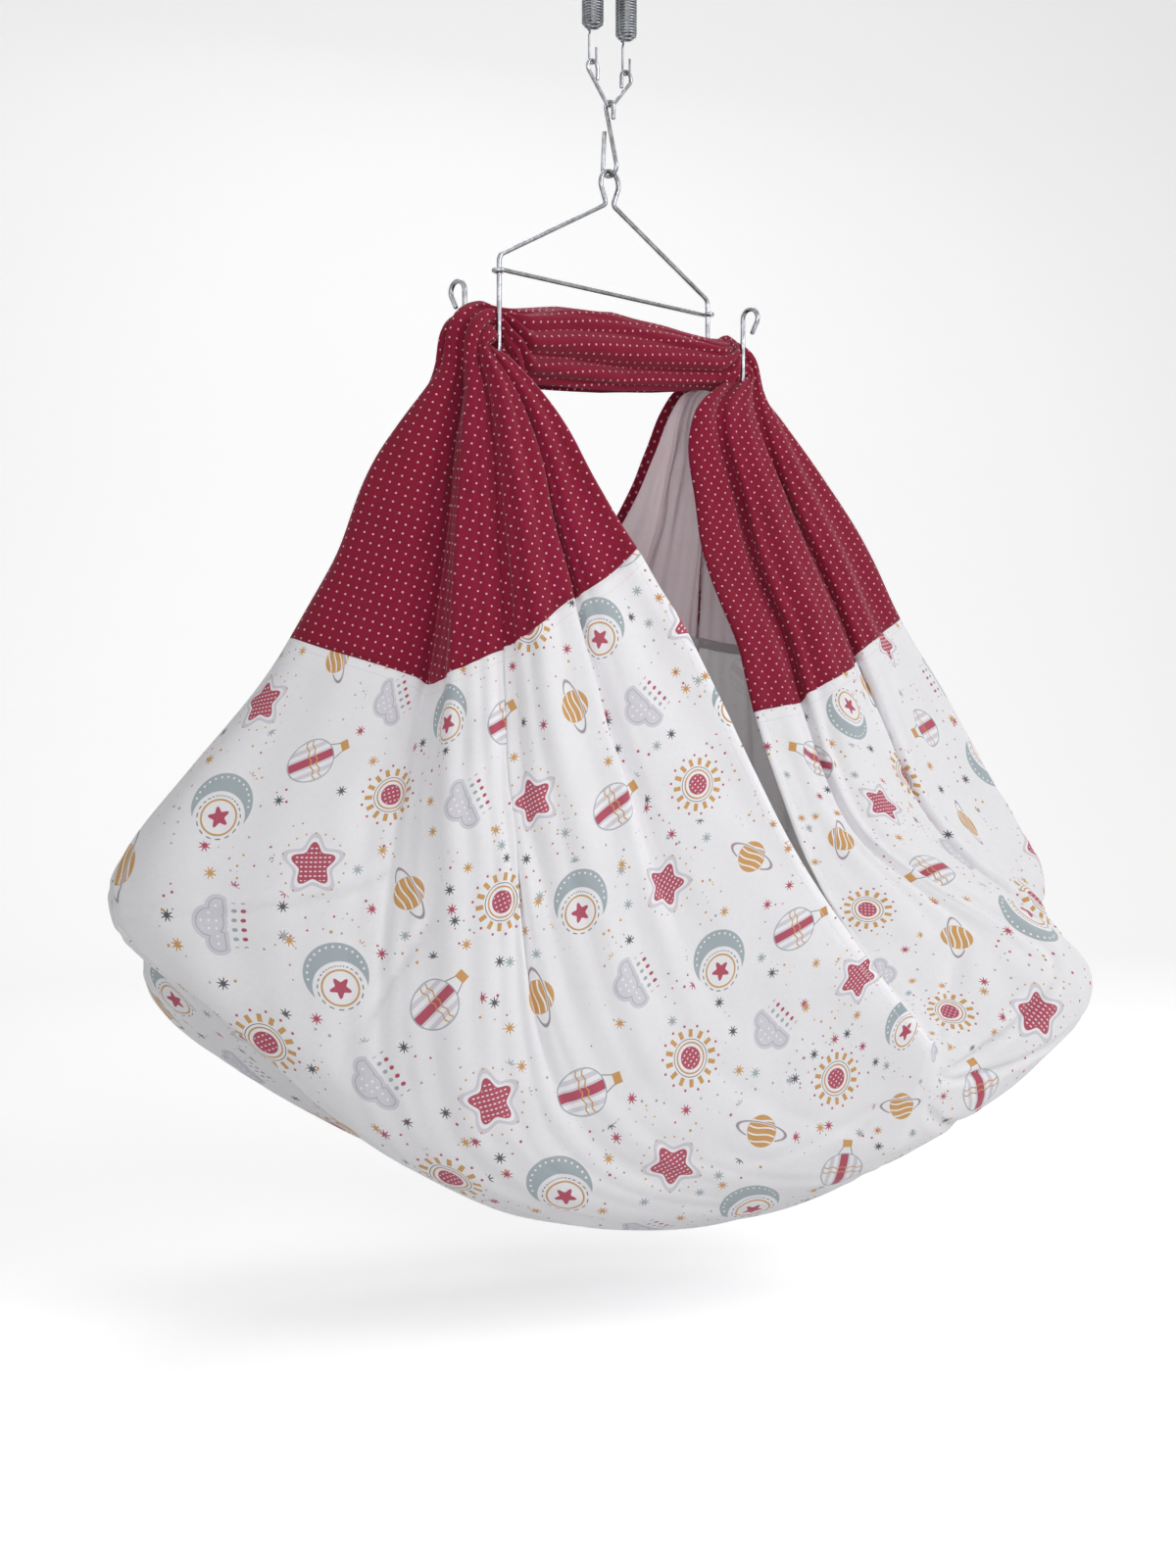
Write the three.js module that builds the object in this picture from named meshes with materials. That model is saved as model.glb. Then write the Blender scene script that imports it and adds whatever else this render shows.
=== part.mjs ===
// Hanging baby cradle: a gathered cloth sling on a bent wire hanger, with two extension springs above.
// Millimetres, +Z up, front towards -Y. The origin is where a ceiling hook bears on the top link,
// and the sling is the same after half a turn about the Z axis.
import * as THREE from "three";

// Driving sizes: chain and springs
const bearingGap = 0.4;
const linkWire = 4;
const linkHeight = 41;
const linkEyeRadius = 7;
const linkBendRadius = 7;
const linkTailLength = 11;
const springSpacing = 50;
const springWire = 2.2;
const springCoilRadius = 10.1;
const springPitch = 2.9;
const springBodyTurns = 24;
const springConeTurns = 2;
const springHookRadius = 5;
const springHookLength = 35;
const springTipLength = 10;
const springTurnInLength = 7;
const sHookWire = 4.5;
const sHookHeight = 76.5;
const sHookTopRadius = 5.2;
const sHookBottomRadius = 9.5;
const sHookTopTailLength = 13;
const sHookTipLength = 37;

// Driving sizes: hanger
const hangerYawDegrees = 36.9;
const hangerWire = 5;
const hangerHalfSpan = 155;
const hangerEyeRadius = 13;
const hangerEyeHeight = 34;
const hangerNeckGap = 4.6;
const hangerNeckRadius = 5;
const hangerArmDrop = 76;
const hangerShoulderRadius = 9;
const hangerLegHeight = 100;
const hookDepth = 49;
const hookCornerRadius = 12;
const hookRise = 83;
const hookCurlRadius = 10;
const hookTipLength = 12;
const crossbarWire = 4.5;
const crossbarDrop = 15;

// Driving sizes: sling and mattress
const clothThickness = 1.2;
const seamGap = 0.6;
const slingHalfLength = 490;
const slingHalfWidth = 208;
const slingDrop = 843;
const bundleHalfWidth = 12;
const spanHalfWidth = 27;
const spanSag = 6;
const mattressEndClearance = 90;
const mattressSideClearance = 48;
const mattressThickness = 35;
const mattressGap = 1.55;
const restReach = 12;
const floorFacing = 0.4;

// Faces around wires, and turns of arcs
const wireSides = 8;
const springSides = 5;
const stepsPerTurn = 8;
const bendStep = Math.PI / 8;

// Heights, worked down from the ceiling hook's bearing
const topBendZ = linkWire / 2;
const topEyeZ = topBendZ - linkHeight;
const springHang = (linkWire + springWire) / 2 + bearingGap;
const springHalfBody = (springPitch * (springBodyTurns + 2 * springConeTurns)) / 2;
const springHalfLength = springHalfBody + springHookLength;
const springMiddleZ = topEyeZ + springHang - springHalfLength;
const lowerEyeZ = springMiddleZ - springHalfLength + springHang;
const lowerBendZ = lowerEyeZ - linkHeight;
const sHookTopZ = lowerBendZ + (linkWire + sHookWire) / 2 + bearingGap;
const sHookBottomZ = sHookTopZ - sHookHeight;
const hangerEyeZ = sHookBottomZ + (sHookWire + hangerWire) / 2 + bearingGap;
const neckZ = hangerEyeZ - hangerEyeHeight;
const shoulderZ = neckZ - hangerArmDrop;
const crossbarZ = shoulderZ - crossbarDrop;
const hookBottomZ = shoulderZ - hangerLegHeight;

// The mattress ends short of the sling's own length and width
const mattressLength = 2 * (slingHalfLength - mattressEndClearance);
const mattressWidth = 2 * (slingHalfWidth - mattressSideClearance);

const yaw = THREE.MathUtils.degToRad(hangerYawDegrees);
const alongBar = new THREE.Vector3(Math.cos(yaw), Math.sin(yaw), 0);
const acrossBar = new THREE.Vector3(-Math.sin(yaw), Math.cos(yaw), 0);

const steel = () => new THREE.MeshStandardMaterial({ color: 0xc8cacd, roughness: 0.22, metalness: 1 });
const zinc = () => new THREE.MeshStandardMaterial({ color: 0xa9acad, roughness: 0.38, metalness: 1 });
const burgundy = () => new THREE.MeshStandardMaterial({ color: 0x8c1937, roughness: 0.9, metalness: 0 });
const white = () => new THREE.MeshStandardMaterial({ color: 0xeceaee, roughness: 0.9, metalness: 0 });
const ticking = () => new THREE.MeshStandardMaterial({ color: 0xf2f0ec, roughness: 0.95, metalness: 0 });

// A wire's centre line with exactly the stations it is given.
class WireLine extends THREE.Curve {
  constructor(stations) {
    super();
    this.stations = stations;
  }
  getSpacedPoints() {
    return this.stations;
  }
  getTangentAt(share, target = new THREE.Vector3()) {
    const last = this.stations.length - 1;
    const i = Math.round(share * last);
    const before = this.stations[Math.max(i - 1, 0)];
    const after = this.stations[Math.min(i + 1, last)];
    const here = this.stations[i];
    target.set(0, 0, 0);
    if (i > 0) target.add(here.clone().sub(before).normalize());
    if (i < last) target.add(after.clone().sub(here).normalize());
    return target.normalize();
  }
}

function wireGeometry(stations, diameter, sides) {
  const section = new THREE.Shape();
  for (let i = 0; i < sides; i++) {
    const angle = ((i + 0.5) / sides) * 2 * Math.PI;
    const x = (diameter / 2) * Math.cos(angle);
    const y = (diameter / 2) * Math.sin(angle);
    if (i === 0) section.moveTo(x, y);
    else section.lineTo(x, y);
  }
  section.closePath();
  const line = new WireLine(stations);
  const settings = { steps: stations.length - 1, extrudePath: line, curveSegments: 1, bevelEnabled: false };
  return new THREE.ExtrudeGeometry(section, settings);
}

// Points on an arc in the plane of axisA and axisB, angles measured from axisA towards axisB.
function arc(centre, axisA, axisB, radius, from, to, step = bendStep) {
  const count = Math.max(1, Math.round(Math.abs(to - from) / step));
  const points = [];
  for (let i = 0; i <= count; i++) {
    const angle = from + ((to - from) * i) / count;
    const point = centre.clone();
    point.addScaledVector(axisA, radius * Math.cos(angle));
    point.addScaledVector(axisB, radius * Math.sin(angle));
    points.push(point);
  }
  return points;
}

// Rounds a corner of a bent wire: the points of the arc between two straights.
function bend(before, corner, after, radius) {
  const back = before.clone().sub(corner).normalize();
  const on = after.clone().sub(corner).normalize();
  const opening = back.angleTo(on);
  const reach = radius / Math.tan(opening / 2);
  const inward = back.clone().add(on).normalize();
  const centre = corner.clone().addScaledVector(inward, radius / Math.sin(opening / 2));
  const first = corner.clone().addScaledVector(back, reach).sub(centre).normalize();
  const last = corner.clone().addScaledVector(on, reach).sub(centre).normalize();
  const turn = first.angleTo(last);
  const side = last.clone().addScaledVector(first, -last.dot(first)).normalize();
  return arc(centre, first, side, radius, 0, turn);
}

const X = new THREE.Vector3(1, 0, 0);
const Y = new THREE.Vector3(0, 1, 0);
const Z = new THREE.Vector3(0, 0, 1);
const at = (x, y, z) => new THREE.Vector3(x, y, z);
const mirrored = (points) => points.map((p) => at(-p.x, p.y, p.z)).reverse();

// V-shaped link, bent from one wire with an open eye at each end, its bend at the bottom.
function linkStations(eyeTopZ, bendZ) {
  const eye = at(-springSpacing / 2, 0, eyeTopZ - linkEyeRadius);
  const bottom = at(0, 0, bendZ + linkBendRadius);
  const across = bottom.clone().sub(eye);
  const slope = Math.atan2(-across.z, across.x);
  const lean = Math.acos((linkBendRadius - linkEyeRadius) / across.length()) - slope;
  const left = arc(eye, X, Z, linkEyeRadius, 0, Math.PI + lean);
  const tail = left[0].clone().addScaledVector(Z, -linkTailLength);
  const half = [tail, ...left, ...arc(bottom, X, Z, linkBendRadius, Math.PI + lean, 1.5 * Math.PI)];
  return [...half, ...mirrored(half).slice(1)];
}

function link(name, eyeTopZ, bendZ) {
  const mesh = new THREE.Mesh(wireGeometry(linkStations(eyeTopZ, bendZ), linkWire, wireSides), steel());
  mesh.name = name;
  return mesh;
}

// One extension spring about its own middle: coned ends run out into hooks through the links' eyes.
function springStations() {
  const halfTurns = springBodyTurns / 2 + springConeTurns;
  const lower = [];
  for (let i = 0; i <= halfTurns * stepsPerTurn; i++) {
    const turns = i / stepsPerTurn;
    const coned = Math.max(0, turns - springBodyTurns / 2) / springConeTurns;
    const radius = THREE.MathUtils.lerp(springCoilRadius, springHookRadius, coned);
    const angle = turns * 2 * Math.PI;
    lower.push(at(radius * Math.sin(angle), radius * Math.cos(angle), -springPitch * turns));
  }
  const end = lower[lower.length - 1];
  const hookZ = -springHalfLength + springHookRadius;
  const legTop = at(0, springHookRadius, end.z - springTurnInLength);
  const turnIn = new THREE.CubicBezierCurve3(
    end,
    end.clone().addScaledVector(X, springHookRadius / 2),
    legTop.clone().addScaledVector(Z, springTurnInLength / 2),
    legTop,
  );
  lower.push(...turnIn.getPoints(4).slice(1));
  const hook = arc(at(0, 0, hookZ), Y, Z, springHookRadius, 0, -Math.PI);
  lower.push(...hook, hook[hook.length - 1].clone().addScaledVector(Z, springTipLength));
  const upper = lower.slice(1).map((p) => at(-p.x, p.y, -p.z));
  return [...upper.reverse(), ...lower];
}

// The least free space between two turns of a spring, measured on its centre line.
function leastSpringGap(stations) {
  let least = Infinity;
  for (let i = 0; i < stations.length; i++)
    for (let j = i + stepsPerTurn / 2 + 1; j < stations.length; j++)
      least = Math.min(least, stations[i].distanceTo(stations[j]));
  return least - springWire;
}

function springs() {
  const stations = springStations();
  console.log(`least gap of a spring to itself: ${leastSpringGap(stations).toFixed(2)} mm`);
  const sides = { spring_left: -1, spring_right: 1 };
  return Object.entries(sides).map(([name, side]) => {
    const mesh = new THREE.Mesh(wireGeometry(stations, springWire, springSides), zinc());
    mesh.name = name;
    mesh.position.set((side * springSpacing) / 2, 0, springMiddleZ);
    return mesh;
  });
}

// S-hook in the plane across the bar, its upper bend over the lower link, its lower one through the hanger.
function sHook() {
  const upper = at(0, 0, sHookTopZ - sHookTopRadius);
  const lower = at(0, 0, sHookBottomZ + sHookBottomRadius);
  const across = Y.clone().negate();
  const crossing = Math.asin((sHookTopRadius + sHookBottomRadius) / (upper.z - lower.z));
  const top = arc(upper, across, Z, sHookTopRadius, 0, Math.PI + crossing);
  const tail = top[0].clone().addScaledVector(Z, -sHookTopTailLength);
  const lowerArc = arc(lower, across, Z, sHookBottomRadius, crossing, -Math.PI);
  const tip = lowerArc[lowerArc.length - 1].clone().addScaledVector(Z, sHookTipLength);
  tip.addScaledVector(across, sHookBottomRadius / 4);
  const stations = [tail, ...top, ...lowerArc, tip];
  const mesh = new THREE.Mesh(wireGeometry(stations, sHookWire, wireSides), steel());
  mesh.name = "s_hook";
  return mesh;
}

// Half of the hanger's one bent wire, from the left hook's tip up to the top of the eye.
function hangerHalf() {
  const leg = -hangerHalfSpan;
  const curlCentre = at(leg, hookDepth + hookCurlRadius, hookBottomZ + hookRise - hookCurlRadius);
  const curlEnd = -Math.PI / 6;
  const curl = arc(curlCentre, Y, Z, hookCurlRadius, curlEnd, Math.PI);
  const tipDirection = at(0, -Math.sin(Math.PI / 6), -Math.cos(Math.PI / 6));
  const tip = curl[0].clone().addScaledVector(tipDirection, hookTipLength);
  const rear = at(leg, hookDepth, hookBottomZ);
  const front = at(leg, 0, hookBottomZ);
  const shoulder = at(leg, 0, shoulderZ);
  const neck = at(-(hangerNeckGap + hangerWire) / 2, 0, neckZ);
  const eye = at(0, 0, hangerEyeZ - hangerEyeRadius);
  const toNeck = neck.clone().sub(eye);
  const neckAngle = Math.atan2(toNeck.z, toNeck.x) + 2 * Math.PI;
  const tangentAngle = neckAngle - Math.acos(hangerEyeRadius / toNeck.length());
  const eyeArc = arc(eye, X, Z, hangerEyeRadius, tangentAngle, Math.PI / 2);
  return [
    tip,
    ...curl,
    ...bend(curl[curl.length - 1], rear, front, hookCornerRadius),
    ...bend(rear, front, shoulder, hookCornerRadius),
    ...bend(front, shoulder, neck, hangerShoulderRadius),
    ...bend(shoulder, neck, eyeArc[0], hangerNeckRadius),
    ...eyeArc,
  ];
}

function hanger() {
  const left = hangerHalf();
  const right = left.map((p) => at(-p.x, -p.y, p.z)).reverse();
  const stations = [...left, ...right.slice(1)];
  const mesh = new THREE.Mesh(wireGeometry(stations, hangerWire, wireSides), steel());
  mesh.name = "hanger_wire";
  return mesh;
}

// Crossbar whose ends curl round the hanger's legs.
function crossbar() {
  const curlRadius = (hangerWire + crossbarWire) / 2 + bearingGap;
  const centre = at(-hangerHalfSpan, 0, crossbarZ);
  const curl = arc(centre, X, Y, curlRadius, Math.PI / 9, 1.5 * Math.PI, Math.PI / 6);
  const right = curl.map((p) => at(-p.x, -p.y, p.z)).reverse();
  const mesh = new THREE.Mesh(wireGeometry([...curl, ...right], crossbarWire, wireSides), steel());
  mesh.name = "crossbar";
  return mesh;
}

// The sling's guides. Along the loop v runs from -1 at the left hook, under the bottom at 0, to 1 at
// the right hook, and the top span joins -1 and 1 through plus or minus 1.25. Across, u runs from -1 at
// the front hem to 1 at the back hem. Half a turn about Z takes (u, v) to (-u, -v).
const spanV = 1.25;
const rowVs = [-spanV, -1, -0.95, -0.9, -0.75, -0.55, -0.3, 0];
const leftSeamV = -0.73;
const rightSeamV = 0.695;

// Places of a row's six guides next to the left hook: out along the bar, across, and down, in named
// sizes of the wire that the cloth passes round.
const wrapOut = hangerWire;
const wrapAcross = hookDepth / 2 + hangerWire - 1.5 * bearingGap;
const wrapOutShares = [1, 3.3, 5.1, 5.8, 3.8, 1];
const wrapAcrossShares = [-1, -0.7, -0.14, 0.54, 0.92, 1];
const wrapDropShares = [-3.2, -1.6, 0.2, 1.4, 0.4, -0.6];

// The free rows: x as a share of the half length, y of the half width, z of the drop below the hooks.
const belowHookShares = [
  [-0.18, -0.54, 0.034],
  [-0.26, -0.55, 0.042],
  [-0.33, -0.51, 0.049],
  [-0.44, -0.39, 0.075],
  [-0.34, -0.19, 0.09],
  [-0.19, -0.09, 0.09],
];
const seamShares = [
  [-0.07, -0.66, 0.152],
  [-0.22, -0.75, 0.25],
  [-0.38, -0.69, 0.292],
  [-0.63, -0.44, 0.268],
  [-0.45, 0.1, 0.32],
  [-0.24, 0.31, 0.34],
];
const shoulderShares = [
  [0.09, -0.81, 0.316],
  [-0.18, -0.92, 0.493],
  [-0.45, -0.89, 0.541],
  [-1, -0.46, 0.56],
  [-0.59, 0.37, 0.541],
  [-0.31, 0.6, 0.523],
];
const turnShares = [
  [0.29, -0.94, 0.556],
  [-0.02, -0.99, 0.814],
  [-0.44, -0.85, 0.865],
  [-0.8, -0.42, 0.745],
  [-0.945, 0.6, 0.725],
  [-0.39, 0.79, 0.642],
];
const bottomShares = [
  [0.55, -0.99, 0.767],
  [0.48, -0.79, 0.915],
  [0.19, -0.33, 0.995],
];

const halfTurned = (p) => at(-p.x, -p.y, p.z);
const atBar = (along, across, z) => at(0, 0, z).addScaledVector(alongBar, along).addScaledVector(acrossBar, across);
const placed = ([x, y, drop]) => at(x * slingHalfLength, y * slingHalfWidth, hookBottomZ - drop * slingDrop);

// How far the folds stand off the cloth's mean surface, by v.
const foldVs = [0, 0.3, 0.45, 0.6, 0.7, 0.85, 0.95, 1, 1.04, spanV];
const spanFold = 42;
const hookFold = 19;
const wrapFold = 10;
const panelFold = 13;
const bottomFold = 1.5;
const foldHeights = [
  bottomFold,
  2 * bottomFold,
  panelFold / 2,
  panelFold,
  panelFold,
  panelFold,
  wrapFold,
  hookFold,
  (2 * spanFold) / 3,
  spanFold,
];
const mainFolds = 6;
const foldWander = 0.035;

// The bundle clears the hook's wire where its folds hang down, tilted by about an eighth of a turn.
const bundleZ = hookBottomZ + hangerWire / 2 + clothThickness + hookFold / Math.cos(Math.PI / 4);

function guideRows() {
  const us = [-1, -0.6, -0.2, 0.2, 0.6, 1];
  const middle = hookDepth / 2;
  const span = us.map((u) => atBar(0, u * spanHalfWidth, bundleZ - spanSag));
  const hook = us.map((u) => atBar(-hangerHalfSpan, middle + u * bundleHalfWidth, bundleZ));
  const wrap = us.map((u, i) =>
    atBar(
      -hangerHalfSpan - wrapOutShares[i] * wrapOut,
      middle + wrapAcrossShares[i] * wrapAcross,
      hookBottomZ - wrapDropShares[i] * hangerWire,
    ),
  );
  const bottom = bottomShares.map(placed);
  const rows = [span, hook, wrap, belowHookShares.map(placed), seamShares.map(placed)];
  rows.push(shoulderShares.map(placed), turnShares.map(placed));
  rows.push([...bottom, ...bottom.map(halfTurned).reverse()]);
  const left = rows.map((points, i) => ({ v: rowVs[i], points }));
  const right = left.slice(0, -1).map(({ v, points }) => ({ v: -v, points: points.map(halfTurned).reverse() }));
  return [...left, ...right.reverse()];
}
const rows = guideRows();

function hermite(a, b, slopeA, slopeB, width, t) {
  const t2 = t * t;
  const t3 = t2 * t;
  return at(0, 0, 0)
    .addScaledVector(a, 2 * t3 - 3 * t2 + 1)
    .addScaledVector(slopeA, (t3 - 2 * t2 + t) * width)
    .addScaledVector(b, 3 * t2 - 2 * t3)
    .addScaledVector(slopeB, (t3 - t2) * width);
}

// The slope at a knot from its two neighbours, which may lie unevenly.
function slopeAt(before, here, after, widthBefore, widthAfter) {
  const sum = widthBefore + widthAfter;
  return at(0, 0, 0)
    .addScaledVector(after.clone().sub(here), widthBefore / (widthAfter * sum))
    .addScaledVector(here.clone().sub(before), widthAfter / (widthBefore * sum));
}

// A guide's place at v. The loop closes on itself at the span's middle.
function alongGuide(guide, v) {
  const count = rows.length - 1;
  let i = 0;
  while (i < count - 1 && v > rows[i + 1].v) i++;
  const row = (k) => rows[((k % count) + count) % count];
  const width = (k) => {
    const k0 = ((k % count) + count) % count;
    return rows[k0 + 1].v - rows[k0].v;
  };
  const [p0, p1, p2, p3] = [i - 1, i, i + 1, i + 2].map((k) => row(k).points[guide]);
  const slope1 = slopeAt(p0, p1, p2, width(i - 1), width(i));
  const slope2 = slopeAt(p1, p2, p3, width(i), width(i + 1));
  return hermite(p1, p2, slope1, slope2, width(i), (v - rows[i].v) / width(i));
}

// The cloth's mean surface.
function meanSurface(u, v) {
  const guides = [0, 1, 2, 3, 4, 5].map((guide) => alongGuide(guide, v));
  const place = THREE.MathUtils.clamp(((u + 1) / 2) * 5, 0, 5);
  const i = Math.min(Math.floor(place), 4);
  const first = guides[i];
  const second = guides[i + 1];
  const before = i > 0 ? guides[i - 1] : first.clone().multiplyScalar(2).sub(second);
  const after = i < 4 ? guides[i + 2] : second.clone().multiplyScalar(2).sub(first);
  const slopeA = second.clone().sub(before).divideScalar(2);
  const slopeB = after.clone().sub(first).divideScalar(2);
  return hermite(first, second, slopeA, slopeB, 1, place - i);
}

function foldHeight(v) {
  const depth = Math.abs(v);
  let i = 0;
  while (i < foldVs.length - 2 && depth > foldVs[i + 1]) i++;
  const t = THREE.MathUtils.clamp((depth - foldVs[i]) / (foldVs[i + 1] - foldVs[i]), 0, 1);
  return THREE.MathUtils.lerp(foldHeights[i], foldHeights[i + 1], t * t * (3 - 2 * t));
}

// A point of the folded cloth at share s across it, from -1 at the front hem to 1 at the back hem.
const normalStep = 0.01;
function foldedSurface(s, v) {
  const u = s + foldWander * Math.sin(2 * Math.PI * s);
  const u0 = Math.max(u - normalStep, -1);
  const u1 = Math.min(u + normalStep, 1);
  const across = meanSurface(u1, v).sub(meanSurface(u0, v));
  const vNear = v > 0 ? v - normalStep : v;
  const along = meanSurface(u, vNear + normalStep).sub(meanSurface(u, vNear));
  const outward = across.cross(along).normalize();
  const hem = 1 - Math.pow(Math.abs(s), 6);
  const fold = Math.cos(mainFolds * Math.PI * s) * hem;
  return meanSurface(u, v).addScaledVector(outward, fold * foldHeight(v));
}

// A closed sheet of the cloth's thickness over a grid of points, outer face along across x along.
function sheetGeometry(grid) {
  const rowsCount = grid.length;
  const columns = grid[0].length;
  const outer = [];
  const inner = [];
  for (let j = 0; j < rowsCount; j++)
    for (let i = 0; i < columns; i++) {
      const across = grid[j][Math.min(i + 1, columns - 1)].clone().sub(grid[j][Math.max(i - 1, 0)]);
      const along = grid[Math.min(j + 1, rowsCount - 1)][i].clone().sub(grid[Math.max(j - 1, 0)][i]);
      const normal = across.cross(along).normalize();
      outer.push(grid[j][i].clone().addScaledVector(normal, clothThickness / 2));
      inner.push(grid[j][i].clone().addScaledVector(normal, -clothThickness / 2));
    }
  const points = [...outer, ...inner];
  const back = outer.length;
  const index = [];
  const quad = (a, b, c, d) => index.push(a, b, c, a, c, d);
  for (let j = 0; j < rowsCount - 1; j++)
    for (let i = 0; i < columns - 1; i++) {
      const a = j * columns + i;
      const [b, c, d] = [a + 1, a + columns + 1, a + columns];
      quad(a, b, c, d);
      index.push(back + a, back + c, back + b, back + a, back + d, back + c);
    }
  const rim = [];
  for (let i = 0; i < columns - 1; i++) rim.push(i);
  for (let j = 0; j < rowsCount - 1; j++) rim.push(j * columns + columns - 1);
  for (let i = columns - 1; i > 0; i--) rim.push((rowsCount - 1) * columns + i);
  for (let j = rowsCount - 1; j > 0; j--) rim.push(j * columns);
  rim.forEach((a, k) => {
    const b = rim[(k + 1) % rim.length];
    quad(b, a, back + a, back + b);
  });
  return indexedGeometry(points, index);
}

function indexedGeometry(points, index) {
  const geometry = new THREE.BufferGeometry().setFromPoints(points);
  geometry.setIndex(index);
  geometry.computeVertexNormals();
  return geometry;
}

function clothGrid(vs, columns) {
  return vs.map((v) => spread(-1, 1, columns).map((s) => foldedSurface(s, v)));
}

function clothMesh(name, grid, material) {
  const mesh = new THREE.Mesh(sheetGeometry(grid), material);
  mesh.name = name;
  return mesh;
}

// Seam edges stand apart by the seam's gap, measured along the mean surface at the middle.
const seamLength = meanSurface(0, leftSeamV).distanceTo(meanSurface(0, leftSeamV + normalStep)) / normalStep;
const seamShare = seamGap / 2 / seamLength;
const clothColumns = 4 * mainFolds;

function spread(from, to, count) {
  return Array.from({ length: count + 1 }, (_, i) => from + ((to - from) * i) / count);
}

const lowerGrid = clothGrid(spread(leftSeamV + seamShare, rightSeamV - seamShare, 18), clothColumns);

// The upper cloth runs from the right seam over both hooks to the left one, past the span's middle,
// where v jumps from 1.25 to -1.25.
function upperGrid() {
  const hookVs = [0.95, 1, 1.03, 1.08, 1.16];
  const right = [...spread(rightSeamV + seamShare, 0.9, 3), ...hookVs];
  const left = [...spread(seamShare - leftSeamV, 0.9, 3), ...hookVs].map((v) => -v);
  return clothGrid([...right, spanV, ...left.reverse()], clothColumns);
}

// The sling's floor, sampled on its flat facets: the parts of the lower cloth that face down.
const floorSamples = [];
const floorRefine = 5;
for (let j = 0; j < lowerGrid.length - 1; j++)
  for (let i = 0; i < clothColumns; i++) {
    const [a, b, c, d] = [lowerGrid[j][i], lowerGrid[j][i + 1], lowerGrid[j + 1][i + 1], lowerGrid[j + 1][i]];
    const outward = c.clone().sub(a).cross(d.clone().sub(b)).normalize();
    if (outward.z > -floorFacing) continue;
    for (const p of spread(0, 1, floorRefine))
      for (const q of spread(0, 1, floorRefine))
        floorSamples.push(a.clone().lerp(b, p).lerp(d.clone().lerp(c, p), q));
  }

// The floor's highest place near a point, or its nearest place where the floor ends before the point.
function restHeight(x, y) {
  let height = -Infinity;
  let nearest = floorSamples[0];
  let least = Infinity;
  for (const p of floorSamples) {
    const away = Math.hypot(p.x - x, p.y - y);
    if (away < restReach) height = Math.max(height, p.z);
    if (away < least) [nearest, least] = [p, away];
  }
  return least < restReach ? height : nearest.z;
}

// Crowned mattress in the sling's bottom, its sides drawn in to a seam at half its thickness.
function mattress() {
  const lengthShares = [0, 0.05, 0.14, 0.26, 0.38, 0.5, 0.62, 0.74, 0.86, 0.95, 1];
  const widthShares = [0, 0.07, 0.2, 0.36, 0.5, 0.64, 0.8, 0.93, 1];
  const corner = 3;
  const rest = lengthShares.map((a) =>
    widthShares.map((b) => {
      const p = 2 * a - 1;
      const q = 2 * b - 1;
      const pull = Math.pow(Math.pow(Math.abs(p), corner * 2) + Math.pow(Math.abs(q), corner * 2), 1 / (corner * 2));
      const round = Math.max(Math.abs(p), Math.abs(q)) / Math.max(pull, 1e-6);
      const x = (p * round * mattressLength) / 2;
      const y = (q * round * mattressWidth) / 2;
      return at(x, y, restHeight(x, y));
    }),
  );
  const last = [lengthShares.length - 1, widthShares.length - 1];
  const smooth = rest.map((line, j) =>
    line.map((p, i) => {
      const near = [p, p, rest[Math.max(j - 1, 0)][i], rest[Math.min(j + 1, last[0])][i]];
      near.push(line[Math.max(i - 1, 0)], line[Math.min(i + 1, last[1])]);
      const mean = near.reduce((sum, n) => sum + n.z, 0) / near.length;
      return at(p.x, p.y, Math.max(p.z, mean) + mattressGap + mattressThickness / 2);
    }),
  );
  const points = [];
  const top = [];
  const bottom = [];
  smooth.forEach((line, j) => {
    line.forEach((p, i) => {
      const onRim = j === 0 || i === 0 || j === last[0] || i === last[1];
      const p1 = 2 * lengthShares[j] - 1;
      const q1 = 2 * widthShares[i] - 1;
      const crown = Math.sqrt(Math.max(0, (1 - Math.pow(p1, 8)) * (1 - Math.pow(q1, 6))));
      const half = (mattressThickness / 2) * (onRim ? 0 : crown);
      top.push(points.push(at(p.x, p.y, p.z + half)) - 1);
      bottom.push(onRim ? points.length - 1 : points.push(at(p.x, p.y, p.z - half)) - 1);
    });
  });
  const columns = widthShares.length;
  const index = [];
  for (let j = 0; j < last[0]; j++)
    for (let i = 0; i < last[1]; i++) {
      const [a, b, c, d] = [j * columns + i, (j + 1) * columns + i, (j + 1) * columns + i + 1, j * columns + i + 1];
      index.push(top[a], top[b], top[c], top[a], top[c], top[d]);
      index.push(bottom[a], bottom[c], bottom[b], bottom[a], bottom[d], bottom[c]);
    }
  const mesh = new THREE.Mesh(indexedGeometry(points, index), ticking());
  mesh.name = "mattress";
  return mesh;
}

const topLink = link("top_link", -topEyeZ, -topBendZ);
topLink.rotation.set(Math.PI, 0, 0);

const metalwork = new THREE.Group();
metalwork.rotation.z = yaw;
metalwork.add(topLink, ...springs(), link("lower_link", lowerEyeZ, lowerBendZ), sHook(), hanger(), crossbar());

const cradle = new THREE.Group();
cradle.add(metalwork);
cradle.add(clothMesh("upper_cloth", upperGrid(), burgundy()));
cradle.add(clothMesh("lower_cloth", lowerGrid, white()));
cradle.add(mattress());

export default cradle;
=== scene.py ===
# %% [markdown]
# # A hanging baby cradle
#
# A baby cradle of this kind is a wide band of cotton, gathered at both ends into the U-shaped hooks of a
# bent wire hanger, and let hang. A thin mattress spreads its bottom. Two coil springs above the hanger let
# the whole bounce. This lesson dresses the plain solids of that cradle: every wire becomes smooth and
# plated, and the cloth gets its real folds, hems, seams and print.

import math

import bpy
import numpy as np
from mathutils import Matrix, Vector
from mathutils.bvhtree import BVHTree


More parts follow.
